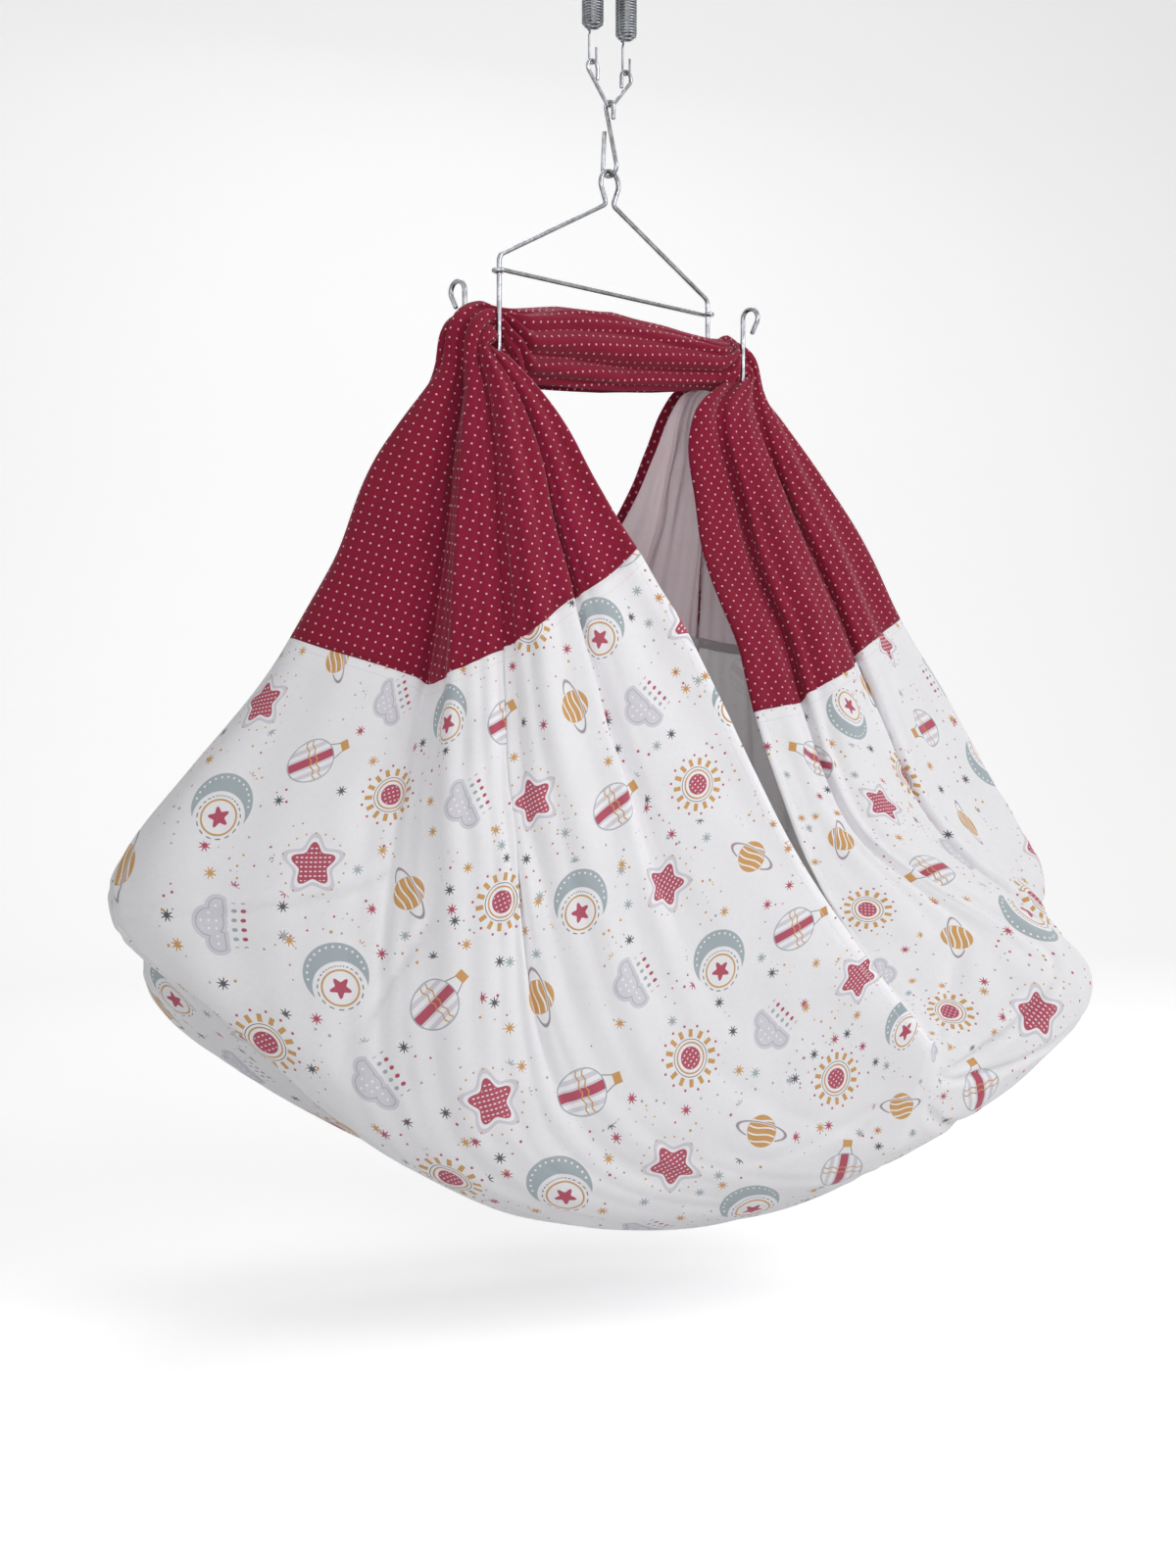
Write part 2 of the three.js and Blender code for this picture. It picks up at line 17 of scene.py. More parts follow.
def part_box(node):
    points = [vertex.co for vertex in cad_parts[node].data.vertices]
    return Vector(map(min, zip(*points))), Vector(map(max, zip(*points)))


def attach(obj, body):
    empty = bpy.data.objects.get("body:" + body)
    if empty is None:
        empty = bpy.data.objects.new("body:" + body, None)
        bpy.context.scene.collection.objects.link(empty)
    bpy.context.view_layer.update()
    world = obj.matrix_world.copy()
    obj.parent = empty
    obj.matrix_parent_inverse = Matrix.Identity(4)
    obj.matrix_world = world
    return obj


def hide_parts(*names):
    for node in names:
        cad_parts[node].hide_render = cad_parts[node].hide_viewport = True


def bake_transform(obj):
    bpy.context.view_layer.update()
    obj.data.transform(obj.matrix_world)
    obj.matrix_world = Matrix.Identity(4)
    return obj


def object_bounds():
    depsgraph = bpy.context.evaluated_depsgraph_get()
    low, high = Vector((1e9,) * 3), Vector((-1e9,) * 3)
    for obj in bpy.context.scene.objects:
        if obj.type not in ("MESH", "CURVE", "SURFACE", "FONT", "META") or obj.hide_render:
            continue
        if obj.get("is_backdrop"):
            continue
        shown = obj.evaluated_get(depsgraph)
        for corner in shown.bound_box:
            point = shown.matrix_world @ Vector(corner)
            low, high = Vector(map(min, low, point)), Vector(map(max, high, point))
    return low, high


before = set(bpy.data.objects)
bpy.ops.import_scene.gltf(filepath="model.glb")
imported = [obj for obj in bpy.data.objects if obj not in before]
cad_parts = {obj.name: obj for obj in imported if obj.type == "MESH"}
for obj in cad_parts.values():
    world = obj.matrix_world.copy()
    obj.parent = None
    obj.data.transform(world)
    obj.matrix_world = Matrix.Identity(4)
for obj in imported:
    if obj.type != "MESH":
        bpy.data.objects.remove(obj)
solids_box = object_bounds()
MM = 0.001
for node in sorted(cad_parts):
    low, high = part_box(node)
    print(f"{node}: {[round((b - a) * 1000) for a, b in zip(low, high)]} mm")

# %% [markdown]
# ## The camera
#
# The picture was taken level, from in front and a little to the left, at the height of the sling's upper
# half. A level camera keeps upright lines upright. To bring the hanging springs into the frame without
# tilting it, the lens is shifted, as on a view camera.

# %% Place the camera
VIEW_AZIMUTH = math.radians(-10)
VIEW_DISTANCE = 1.9
VIEW_HEIGHT = -0.792
PICTURE_WIDTH, PICTURE_HEIGHT = 1200, 1600
FOCAL_PIXELS = 1900
AXIS_PIXEL_X, HORIZON_PIXEL_Y = 622, 676

camera = bpy.data.objects.new("view_camera", bpy.data.cameras.new("view_camera"))
bpy.context.scene.collection.objects.link(camera)
bpy.context.scene.camera = camera
camera.location = (
    VIEW_DISTANCE * math.sin(VIEW_AZIMUTH),
    -VIEW_DISTANCE * math.cos(VIEW_AZIMUTH),
    VIEW_HEIGHT,
)
camera.rotation_euler = (math.pi / 2, 0, VIEW_AZIMUTH)
camera.data.sensor_fit = "VERTICAL"
camera.data.sensor_height = 36
camera.data.lens = 36 * FOCAL_PIXELS / PICTURE_HEIGHT
camera.data.shift_x = (PICTURE_WIDTH / 2 - AXIS_PIXEL_X) / PICTURE_HEIGHT
camera.data.shift_y = (HORIZON_PIXEL_Y - PICTURE_HEIGHT / 2) / PICTURE_HEIGHT
print(f"lens {camera.data.lens:.1f} mm, shift {camera.data.shift_x:.3f}, {camera.data.shift_y:.3f}")

# %% [markdown]
# ## A small language for materials
#
# A material is a sum of many small ones: dots, weave, a seam's shade. Wiring each by hand hides the idea,
# so a thin class lets Python's own operators add the Math nodes. `1 - mask` then reads as it would on
# paper. Colours have their own way through Mix nodes, because a Math node would turn them grey.


# %% The wrapped socket and the finish that owns it
def operator(operation, reflected=False):
    """What Python calls for a sign such as +: a method that adds one Math node."""

    def method(own, *others):
        values = (*others, own) if reflected else (own, *others)
        return own.finish.add("ShaderNodeMath", {"operation": operation}, dict(enumerate(values)))

    return method


class Value:
    """One output socket of a finish, open to Python's operators. & takes the smaller of two, and | the larger."""

    __add__, __radd__ = operator("ADD"), operator("ADD", reflected=True)
    __sub__, __rsub__ = operator("SUBTRACT"), operator("SUBTRACT", reflected=True)
    __mul__, __rmul__ = operator("MULTIPLY"), operator("MULTIPLY", reflected=True)
    __truediv__, __rtruediv__ = operator("DIVIDE"), operator("DIVIDE", reflected=True)
    __pow__, __mod__, __abs__ = operator("POWER"), operator("FLOORED_MODULO"), operator("ABSOLUTE")
    __lt__, __gt__ = operator("LESS_THAN"), operator("GREATER_THAN")
    __and__, __or__ = operator("MINIMUM"), operator("MAXIMUM")
    sine, cosine, floor = operator("SINE"), operator("COSINE"), operator("FLOOR")
    ping_pong, angle_to = operator("PINGPONG"), operator("ARCTAN2")

    def __init__(self, finish, socket):
        self.finish, self.socket = finish, socket

    def ramp(self, start, end):
        """0 before start, 1 after end, and smooth between them. It falls where start is the larger."""
        low, high = min(start, end), max(start, end)
        settings = {"interpolation_type": "SMOOTHSTEP"}
        rising = self.finish.add("ShaderNodeMapRange", settings, {"Value": self, "From Min": low, "From Max": high})
        return rising if start < end else 1 - rising

    def channel(self, name):
        return self.finish.add("ShaderNodeSeparateXYZ", {}, {0: self}, name)


class Finish:
    """A material under construction."""

    def __init__(self, name):
        self.material = bpy.data.materials.new(name)
        self.material.use_nodes = True
        self.tree = self.material.node_tree
        self.shader = self.tree.nodes["Principled BSDF"]

    def feed(self, socket, value):
        """Links a wrapped socket to another one, or writes a plain number or colour in it."""
        if isinstance(value, Value):
            self.tree.links.new(value.socket, socket)
        else:
            socket.default_value = value

    def add(self, kind, settings, inputs, output=0):
        """Adds a node: its settings first, then its sockets' values and links. Gives one output."""
        node = self.tree.nodes.new(kind)
        for name, value in settings.items():
            setattr(node, name, value)
        for name, value in inputs.items():
            self.feed(node.inputs[name], value)
        return Value(self, node.outputs[output])

    def blend(self, share, first, second, kind="MIX"):
        """Mixes two colours: first where share is 0, second where it is 1."""
        settings = {"data_type": "RGBA", "blend_type": kind, "clamp_factor": True}
        return self.add("ShaderNodeMix", settings, {0: share, 6: first, 7: second}, 2)

    def vector(self, x, y, z=0.0):
        return self.add("ShaderNodeCombineXYZ", {}, {0: x, 1: y, 2: z})

    def noise(self, place, scale, detail=2.0, roughness=0.5):
        inputs = {"Vector": place, "Scale": scale, "Detail": detail, "Roughness": roughness}
        return self.add("ShaderNodeTexNoise", {"noise_dimensions": "3D"}, inputs, "Fac")

    def object_place(self):
        return self.add("ShaderNodeTexCoord", {}, {}, "Object")

    def bump(self, height, depth, strength=1.0):
        inputs = {"Height": height, "Distance": depth, "Strength": strength}
        return self.add("ShaderNodeBump", {}, inputs, "Normal")

    def surface(self, **inputs):
        """Feeds the shader's own sockets, named with _ for a space."""
        for name, value in inputs.items():
            self.feed(self.shader.inputs[name.replace("_", " ")], value)
        return self.material


def shade(red, green, blue):
    """A colour given on a 0 to 255 screen scale, in the linear values that Blender works in."""
    parts = [c / 255 for c in (red, green, blue)]
    linear = [c / 12.92 if c <= 0.04045 else ((c + 0.055) / 1.055) ** 2.4 for c in parts]
    return (*linear, 1.0)


print("burgundy in linear values:", [round(c, 4) for c in shade(140, 25, 55)])

# %% [markdown]
# ## Backdrop and light
#
# The cradle hangs close over a white sweep. The floor is white to the camera and to the plated wire that
# mirrors it, and an honest pale grey to everything else, and where the cradle keeps light from it the
# camera sees that grey come through: a shadow on white. Large soft lamps in front, on both sides, above and
# behind stand for a photographer's light boxes.

# %% What is seen, and what lights
FLOOR_Z = -1.44
LIGHT_FROM_WORLD = 0.22
SWEEP_GLOW = 0.36
BLACK, WHITE = (0, 0, 0, 1), (1, 1, 1, 1)


def seen_directly(finish):
    """1 for what the camera sees, also in a mirror or through glass, and 0 for what lights the object."""
    kinds = ("Is Camera Ray", "Is Glossy Ray", "Is Transmission Ray")
    camera_ray, mirrored_ray, passed_ray = (finish.add("ShaderNodeLightPath", {}, {}, kind) for kind in kinds)
    return camera_ray | mirrored_ray | passed_ray


print("the floor is at", FLOOR_Z, "m")


# %% The sweep: a floor that turns up into a wall
def sweep_finish():
    """Pale grey that bounces light, and white to the camera and to mirrors but for the cradle's shadow."""
    floor = Finish("white_sweep")
    grain = floor.noise(floor.object_place(), 40.0, 3.0) * 0.3
    pale = floor.blend(grain, (0.80, 0.80, 0.805, 1), (0.76, 0.76, 0.77, 1))
    white = floor.blend(grain, WHITE, (0.995, 0.995, 0.998, 1))
    seen = seen_directly(floor)
    glow = floor.blend(seen, BLACK, WHITE)
    colour = floor.blend(seen, pale, white)
    return floor.surface(
        Base_Color=colour, Roughness=0.95, Specular_IOR_Level=0.0, Emission_Color=glow, Emission_Strength=SWEEP_GLOW
    )


def make_sweep():
    front, back, half_width, height, turn = -4.5, 3.2, 7.0, 4.2, 1.2
    line = [(front, 0.0), (back - turn, 0.0)]
    line += [(back - turn + turn * math.sin(a), turn - turn * math.cos(a)) for a in np.linspace(0.1, math.pi / 2, 14)]
    line += [(back, height)]
    verts = [(x, y, FLOOR_Z + z) for y, z in line for x in (-half_width, half_width)]
    faces = [(2 * i, 2 * i + 1, 2 * i + 3, 2 * i + 2) for i in range(len(line) - 1)]
    mesh = bpy.data.meshes.new("sweep")
    mesh.from_pydata(verts, [], faces)
    mesh.materials.append(sweep_finish())
    mesh.shade_smooth()
    sweep = bpy.data.objects.new("sweep", mesh)
    bpy.context.scene.collection.objects.link(sweep)
    return sweep


make_sweep()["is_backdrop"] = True

# %% The world and five light boxes
scene = bpy.context.scene
scene.view_settings.view_transform = "Standard"
scene.world = bpy.data.worlds.new("studio")
scene.world.use_nodes = True


class Sky(Finish):
    """The world's own nodes, built by the same method as a material's."""

    def __init__(self, world):
        self.material, self.tree = world, world.node_tree
        self.shader = self.tree.nodes["Background"]


sky = Sky(scene.world)
sky.surface(Color=WHITE, Strength=seen_directly(sky) * (1 - LIGHT_FROM_WORLD) + LIGHT_FROM_WORLD)


def light_box(name, place, aim_z, size, power):
    """A large soft lamp that looks at the hanging line at the height aim_z."""
    lamp = bpy.data.lights.new(name, "AREA")
    lamp.shape, lamp.size, lamp.size_y, lamp.energy = "RECTANGLE", size[0], size[1], power
    box = bpy.data.objects.new(name, lamp)
    box.location = place
    box.rotation_euler = (Vector((0, 0, aim_z)) - Vector(place)).to_track_quat("-Z", "Y").to_euler()
    bpy.context.scene.collection.objects.link(box)


LIGHT_BOXES = (
    # name, place, height that it looks at, size, watts
    ("front_box", (-0.5, -2.5, -0.5), -0.85, (1.3, 1.3), 22),
    ("key_box", (2.1, -1.7, 0.5), -0.9, (1.6, 1.6), 46),
    ("side_box", (-2.1, -1.5, 0.2), -0.9, (1.4, 1.6), 6),
    ("top_box", (0.2, 0.4, 1.9), -0.9, (2.2, 1.6), 17),
    ("back_box", (0.2, 2.2, 1.7), -0.9, (1.6, 1.0), 14),
)
for light in LIGHT_BOXES:
    light_box(*light)
print(len(LIGHT_BOXES), "light boxes, and a white world that lights at", LIGHT_FROM_WORLD)

# %% [markdown]
# ## Bent wire
#
# Everything above the cloth is round wire, bent on pegs. A wire is fully told by its centre line, so each
# one is a list of points, and one function sweeps a round section along it. The section is carried from
# point to point without twisting, and both ends are domed, as wire is after it is cropped and plated.

# %% Sweep a round section along a line
WIRE_SIDES, SPRING_SIDES, PIPING_SIDES = 20, 12, 10
DOME_RINGS, DOME_HEIGHT = (0.92, 0.7, 0.38), 0.6


def carried_frames(line):
    """A tangent and two side directions at each point, turned no more than the line itself turns."""
    tangents = np.gradient(line, axis=0)
    tangents /= np.linalg.norm(tangents, axis=1)[:, None]
    start = np.array([0.0, 1.0, 0.0]) if abs(tangents[0][1]) < 0.8 else np.array([1.0, 0.0, 0.0])
    side = start - tangents[0] * start.dot(tangents[0])
    sides = []
    for tangent in tangents:
        side = side - tangent * side.dot(tangent)
        side /= np.linalg.norm(side)
        sides.append(side)
    sides = np.array(sides)
    return tangents, sides, np.cross(tangents, sides)


def new_mesh(name, verts, faces, body, replaced, finish_name, *materials):
    mesh = bpy.data.meshes.new(name)
    mesh.from_pydata([tuple(v) for v in verts], [], faces)
    mesh.shade_smooth()
    for material in materials:
        mesh.materials.append(material)
    piece = bpy.data.objects.new(name, mesh)
    bpy.context.scene.collection.objects.link(piece)
    if replaced:
        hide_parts(*replaced)
    if body:
        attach(piece, body)
    return piece


def dome(place, outward, first, second, radius):
    """Rings that round off an end of wire, from its tip inwards."""
    rings = []
    for share in DOME_RINGS:
        centre = place + outward * (radius * share) * DOME_HEIGHT
        rings.append((centre, first, second, radius * math.sqrt(1 - share**2)))
    return rings


def wire_shell(line, diameter, sides=WIRE_SIDES):
    """The vertices and faces of a wire with domed ends along the line."""
    line = np.array(line, float)
    tangents, first, second = carried_frames(line)
    radius = diameter / 2
    angles = np.arange(sides) * 2 * math.pi / sides
    rings = dome(line[0], -tangents[0], first[0], second[0], radius)
    rings += [(line[i], first[i], second[i], radius) for i in range(len(line))]
    rings += dome(line[-1], tangents[-1], first[-1], second[-1], radius)[::-1]
    verts = [c + r * (math.cos(a) * f + math.sin(a) * s) for c, f, s, r in rings for a in angles]
    faces = []
    for j in range(len(rings) - 1):
        for i in range(sides):
            k = (i + 1) % sides
            faces.append((j * sides + i, j * sides + k, (j + 1) * sides + k, (j + 1) * sides + i))
    faces.append(tuple(reversed(range(sides))))
    faces.append(tuple(range((len(rings) - 1) * sides, len(rings) * sides)))
    return verts, faces


print("a wire has", WIRE_SIDES, "faces around")

# %% [markdown]
# ## Plated steel
#
# Zinc or nickel plate on drawn wire is bright but not a mirror: the die leaves faint lines along the wire,
# and the plate has cloudy patches where it is a little rougher. Its base colours are set darker than bare plate,
# and darker still in cloudy patches and streaks: partly the plate's own duller tone, partly painted reflection
# of dark surroundings. These are fine noise, so the finish needs no unwrapping. The springs are wound from
# harder, slightly duller wire.


# %% Two plated finishes
DULL_AND_REFLECTION_SHARE, DRAW_MARK_DEPTH = 0.52, 0.00004


def plated(name, colour, roughness):
    metal = Finish(name)
    place = metal.object_place()
    cloud = metal.noise(place, 60.0, 3.0, 0.6)
    draw_marks = metal.noise(place, 900.0, 2.0, 0.7)
    painted_reflection_streaks = metal.noise(place, 260.0, 3.0, 0.6)
    dull_plate_and_dark_reflection = (*(c * DULL_AND_REFLECTION_SHARE for c in colour[:3]), 1.0)
    # Cloudy patches and streaks blend to a darker tone: partly the plate's own dullness, partly painted reflection of
    # dark surroundings.
    tone = metal.blend((cloud * 0.6 + painted_reflection_streaks * 0.4).ramp(0.36, 0.62), colour, dull_plate_and_dark_reflection)
    rough = roughness + cloud * 0.10 + draw_marks * 0.06
    relief = metal.bump(draw_marks + cloud * 0.5, DRAW_MARK_DEPTH)
    return metal.surface(Base_Color=tone, Roughness=rough, Metallic=1.0, Normal=relief)


# Both base colours are darker than bare plate: partly its own grey, partly painted reflection of dark surroundings.
bright_plate = plated("bright_plate", shade(166, 168, 172), 0.16)
spring_plate = plated("spring_plate", shade(150, 153, 158), 0.22)
print("finishes:", bright_plate.name, spring_plate.name)

# %% [markdown]
# ## The chain above the hanger
#
# The sizes here are those of the solids, so every piece bears where the solid does: the springs' hooks lie
# in the links' eyes, the S-hook hangs on the V's bend, and the hanger's eye on the S-hook. Arcs get many
# more steps than the solids have.

# %% Sizes of the chain
BEARING_GAP = 0.4
LINK_WIRE, LINK_HEIGHT, LINK_EYE, LINK_BEND, LINK_TAIL = 4, 41, 7, 7, 11
SPRING_SPACING, SPRING_WIRE, SPRING_COIL, SPRING_PITCH = 50, 2.2, 10.1, 2.9
SPRING_BODY_TURNS, SPRING_CONE_TURNS = 24, 2
SPRING_HOOK, SPRING_HOOK_LENGTH, SPRING_TIP, SPRING_TURN_IN = 5, 35, 10, 7
S_WIRE, S_HEIGHT, S_TOP, S_BOTTOM, S_TAIL, S_TIP = 4.5, 76.5, 5.2, 9.5, 13, 37
YAW = math.radians(36.9)
HANGER_WIRE, HANGER_HALF_SPAN, HANGER_EYE, HANGER_EYE_HEIGHT = 5, 155, 13, 34
NECK_GAP, NECK_RADIUS, ARM_DROP, SHOULDER_RADIUS, LEG_HEIGHT = 4.6, 5, 76, 9, 100
HOOK_DEPTH, HOOK_CORNER, HOOK_RISE, HOOK_CURL, HOOK_TIP = 49, 12, 83, 10, 12
CROSSBAR_WIRE, CROSSBAR_DROP = 4.5, 15

TOP_BEND_Z = LINK_WIRE / 2
TOP_EYE_Z = TOP_BEND_Z - LINK_HEIGHT
SPRING_HANG = (LINK_WIRE + SPRING_WIRE) / 2 + BEARING_GAP
SPRING_HALF_BODY = SPRING_PITCH * (SPRING_BODY_TURNS + 2 * SPRING_CONE_TURNS) / 2
SPRING_HALF_LENGTH = SPRING_HALF_BODY + SPRING_HOOK_LENGTH
SPRING_MIDDLE_Z = TOP_EYE_Z + SPRING_HANG - SPRING_HALF_LENGTH
LOWER_EYE_Z = SPRING_MIDDLE_Z - SPRING_HALF_LENGTH + SPRING_HANG
LOWER_BEND_Z = LOWER_EYE_Z - LINK_HEIGHT
S_TOP_Z = LOWER_BEND_Z + (LINK_WIRE + S_WIRE) / 2 + BEARING_GAP
S_BOTTOM_Z = S_TOP_Z - S_HEIGHT
HANGER_EYE_Z = S_BOTTOM_Z + (S_WIRE + HANGER_WIRE) / 2 + BEARING_GAP
NECK_Z = HANGER_EYE_Z - HANGER_EYE_HEIGHT
SHOULDER_Z = NECK_Z - ARM_DROP
CROSSBAR_Z = SHOULDER_Z - CROSSBAR_DROP
HOOK_BOTTOM_Z = SHOULDER_Z - LEG_HEIGHT
print(f"the hooks' bottoms are {-HOOK_BOTTOM_Z:.1f} mm below the hanging point")


# %% Arcs, bends and the turn to the hanger's own direction
X, Y, Z = (1, 0, 0), (0, 1, 0), (0, 0, 1)
MIRRORED, HALF_TURNED, UPSIDE_DOWN = (-1, 1, 1), (-1, -1, 1), (1, -1, -1)


def arc(centre, axis_a, axis_b, radius, start, end, step=math.pi / 20):
    count = max(2, round(abs(end - start) / step))
    angles = np.linspace(start, end, count + 1)[:, None]
    a, b = np.array(axis_a, float), np.array(axis_b, float)
    return list(np.array(centre, float) + radius * (np.cos(angles) * a + np.sin(angles) * b))


def bend(before, corner, after, radius):
    before, corner, after = (np.array(p, float) for p in (before, corner, after))
    back = (before - corner) / np.linalg.norm(before - corner)
    on = (after - corner) / np.linalg.norm(after - corner)
    opening = math.acos(back.dot(on))
    reach = radius / math.tan(opening / 2)
    inward = (back + on) / np.linalg.norm(back + on)
    centre = corner + inward * radius / math.sin(opening / 2)
    first = (corner + back * reach - centre) / radius
    last = (corner + on * reach - centre) / radius
    side = last - first * last.dot(first)
    return arc(centre, first, side / np.linalg.norm(side), radius, 0, math.acos(first.dot(last)))


def evened(line, spacing):
    """The same line with long straights cut into even steps, so that shading stays smooth."""
    line = np.array(line, float)
    points = [line[0]]
    for a, b in zip(line, line[1:]):
        count = max(1, round(np.linalg.norm(b - a) / spacing))
        points += [a + (b - a) * i / count for i in range(1, count + 1)]
    return np.array(points)


def turned(points):
    """From the hanger's own direction to the cradle's, and from millimetres to metres."""
    points = np.array(points, float)
    x = points[:, 0] * math.cos(YAW) - points[:, 1] * math.sin(YAW)
    y = points[:, 0] * math.sin(YAW) + points[:, 1] * math.cos(YAW)
    return np.stack([x, y, points[:, 2]], 1) * MM


def flipped(points, signs):
    """The points from last to first, on the other side: signs change those of x, y and z."""
    return [np.array(p) * signs for p in reversed(points)]


print("a quarter bend has", len(arc((0, 0, 0), X, Y, 1, 0, math.pi / 2)), "points")


# %% The two V-shaped links
def link_line(eye_top_z, bend_z, upside_down):
    eye = np.array([-SPRING_SPACING / 2, 0, eye_top_z - LINK_EYE])
    bottom = np.array([0, 0, bend_z + LINK_BEND])
    across = bottom - eye
    lean = math.acos((LINK_BEND - LINK_EYE) / np.linalg.norm(across)) - math.atan2(-across[2], across[0])
    left = arc(eye, X, Z, LINK_EYE, 0, math.pi + lean)
    half = [left[0] - np.array([0, 0, LINK_TAIL]), *left]
    half += arc(bottom, X, Z, LINK_BEND, math.pi + lean, 1.5 * math.pi)
    line = np.array(half + flipped(half, MIRRORED)[1:])
    return line * UPSIDE_DOWN if upside_down else line


WIRE_STEP = 4


def wire_piece(name, line, diameter, body, material):
    verts, faces = wire_shell(turned(evened(line, WIRE_STEP)), diameter * MM)
    return new_mesh(name, verts, faces, body, [name.replace("_wirework", "")], "wire", material)


wire_piece("top_link_wirework", link_line(-TOP_EYE_Z, -TOP_BEND_Z, True), LINK_WIRE, "anchor", bright_plate)
wire_piece("lower_link_wirework", link_line(LOWER_EYE_Z, LOWER_BEND_Z, False), LINK_WIRE, "lower_link", bright_plate)
print("two links, each", LINK_HEIGHT, "mm high")


# %% The S-hook
def s_hook_line():
    upper = np.array([0, 0, S_TOP_Z - S_TOP])
    lower = np.array([0, 0, S_BOTTOM_Z + S_BOTTOM])
    across = (0, -1, 0)
    crossing = math.asin((S_TOP + S_BOTTOM) / (upper[2] - lower[2]))
    top = arc(upper, across, Z, S_TOP, 0, math.pi + crossing)
    lower_arc = arc(lower, across, Z, S_BOTTOM, crossing, -math.pi)
    tip = lower_arc[-1] + np.array([0, -S_BOTTOM / 4, S_TIP])
    return [top[0] - np.array([0, 0, S_TAIL]), *top, *lower_arc, tip]


wire_piece("s_hook_wirework", s_hook_line(), S_WIRE, "s_hook", bright_plate)
print("S-hook", S_HEIGHT, "mm high")

# %% [markdown]
# ## The springs
#
# An extension spring is wound close, its last turns cone in, and the wire then runs out into a hook. Each
# spring here is one unbroken tube along that helix, 28 turns of it.


# %% Wind the springs
STEPS_IN_TURN = 26


def spring_line():
    half_turns = SPRING_BODY_TURNS / 2 + SPRING_CONE_TURNS
    turns = np.arange(round(half_turns * STEPS_IN_TURN) + 1) / STEPS_IN_TURN
    coned = np.clip(turns - SPRING_BODY_TURNS / 2, 0, None) / SPRING_CONE_TURNS
    radius = SPRING_COIL + (SPRING_HOOK - SPRING_COIL) * coned * coned * (3 - 2 * coned)
    angle = turns * 2 * math.pi
    lower = list(np.stack([radius * np.sin(angle), radius * np.cos(angle), -SPRING_PITCH * turns], 1))
    end = lower[-1]
    hook_z = -SPRING_HALF_LENGTH + SPRING_HOOK
    leg = np.array([0, SPRING_HOOK, end[2] - SPRING_TURN_IN])
    a, b = end + np.array([SPRING_HOOK / 2, 0, 0]), leg + np.array([0, 0, SPRING_TURN_IN / 2])
    for t in np.linspace(0, 1, 12)[1:]:
        lower.append((1 - t) ** 3 * end + 3 * (1 - t) ** 2 * t * a + 3 * (1 - t) * t**2 * b + t**3 * leg)
    hook = arc((0, 0, hook_z), Y, Z, SPRING_HOOK, 0, -math.pi)
    lower += hook + [hook[-1] + np.array([0, 0, SPRING_TIP])]
    lower = np.array(lower)
    upper = lower[1:] * (-1, 1, -1)
    return np.vstack([upper[::-1], lower])


for name, side in (("spring_left", -1), ("spring_right", 1)):
    line = spring_line() + np.array([side * SPRING_SPACING / 2, 0, SPRING_MIDDLE_Z])
    verts, faces = wire_shell(turned(line), SPRING_WIRE * MM, SPRING_SIDES)
    coil = new_mesh(name + "_coil", verts, faces, None, [name], "spring_wire", spring_plate)
    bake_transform(coil)
print("springs wound with", SPRING_BODY_TURNS + 2 * SPRING_CONE_TURNS, "turns each")


# %% The hanger, in one wire
def hanger_half():
    leg = -HANGER_HALF_SPAN
    curl_centre = (leg, HOOK_DEPTH + HOOK_CURL, HOOK_BOTTOM_Z + HOOK_RISE - HOOK_CURL)
    curl = arc(curl_centre, Y, Z, HOOK_CURL, -math.pi / 6, math.pi)
    tip = curl[0] + HOOK_TIP * np.array([0, -math.sin(math.pi / 6), -math.cos(math.pi / 6)])
    rear, front = np.array([leg, HOOK_DEPTH, HOOK_BOTTOM_Z]), np.array([leg, 0, HOOK_BOTTOM_Z])
    shoulder = np.array([leg, 0, SHOULDER_Z])
    neck = np.array([-(NECK_GAP + HANGER_WIRE) / 2, 0, NECK_Z])
    eye = np.array([0, 0, HANGER_EYE_Z - HANGER_EYE])
    to_neck = neck - eye
    tangent = math.atan2(to_neck[2], to_neck[0]) + 2 * math.pi - math.acos(HANGER_EYE / np.linalg.norm(to_neck))
    eye_arc = arc(eye, X, Z, HANGER_EYE, tangent, math.pi / 2)
    line = [tip, *curl, *bend(curl[-1], rear, front, HOOK_CORNER), *bend(rear, front, shoulder, HOOK_CORNER)]
    line += bend(front, shoulder, neck, SHOULDER_RADIUS)
    return line + bend(shoulder, neck, eye_arc[0], NECK_RADIUS) + eye_arc


left_half = hanger_half()
right_half = flipped(left_half, HALF_TURNED)
wire_piece("hanger_wire_wirework", left_half + right_half[1:], HANGER_WIRE, "cradle", bright_plate)
print("the hanger bends through", 2 * len(left_half) - 1, "points")


# %% The crossbar, curled round the hanger's legs
def crossbar_line():
    radius = (HANGER_WIRE + CROSSBAR_WIRE) / 2 + BEARING_GAP
    curl = arc((-HANGER_HALF_SPAN, 0, CROSSBAR_Z), X, Y, radius, math.pi / 9, 1.5 * math.pi)
    return curl + flipped(curl, HALF_TURNED)


wire_piece("crossbar_wirework", crossbar_line(), CROSSBAR_WIRE, "cradle", bright_plate)
print("hanger", 2 * HANGER_HALF_SPAN, "mm wide, with its crossbar")

# %% [markdown]
# ## The sling's surface
#
# The cloth is one closed band. Its shape is told along the band by v, from -1 at the left hook, under the
# bottom at 0, to 1 at the right hook, and over the top span between them, and across the band by u, from
# the front hem at -1 to the back hem at 1. Eight rows of six guide points give the left half, and half a
# turn about the hanging line gives the right half. Smooth curves through the guides give the mean surface
# that the folds are laid on. These rows are the solids' own, so the cloth stays where the solids are.

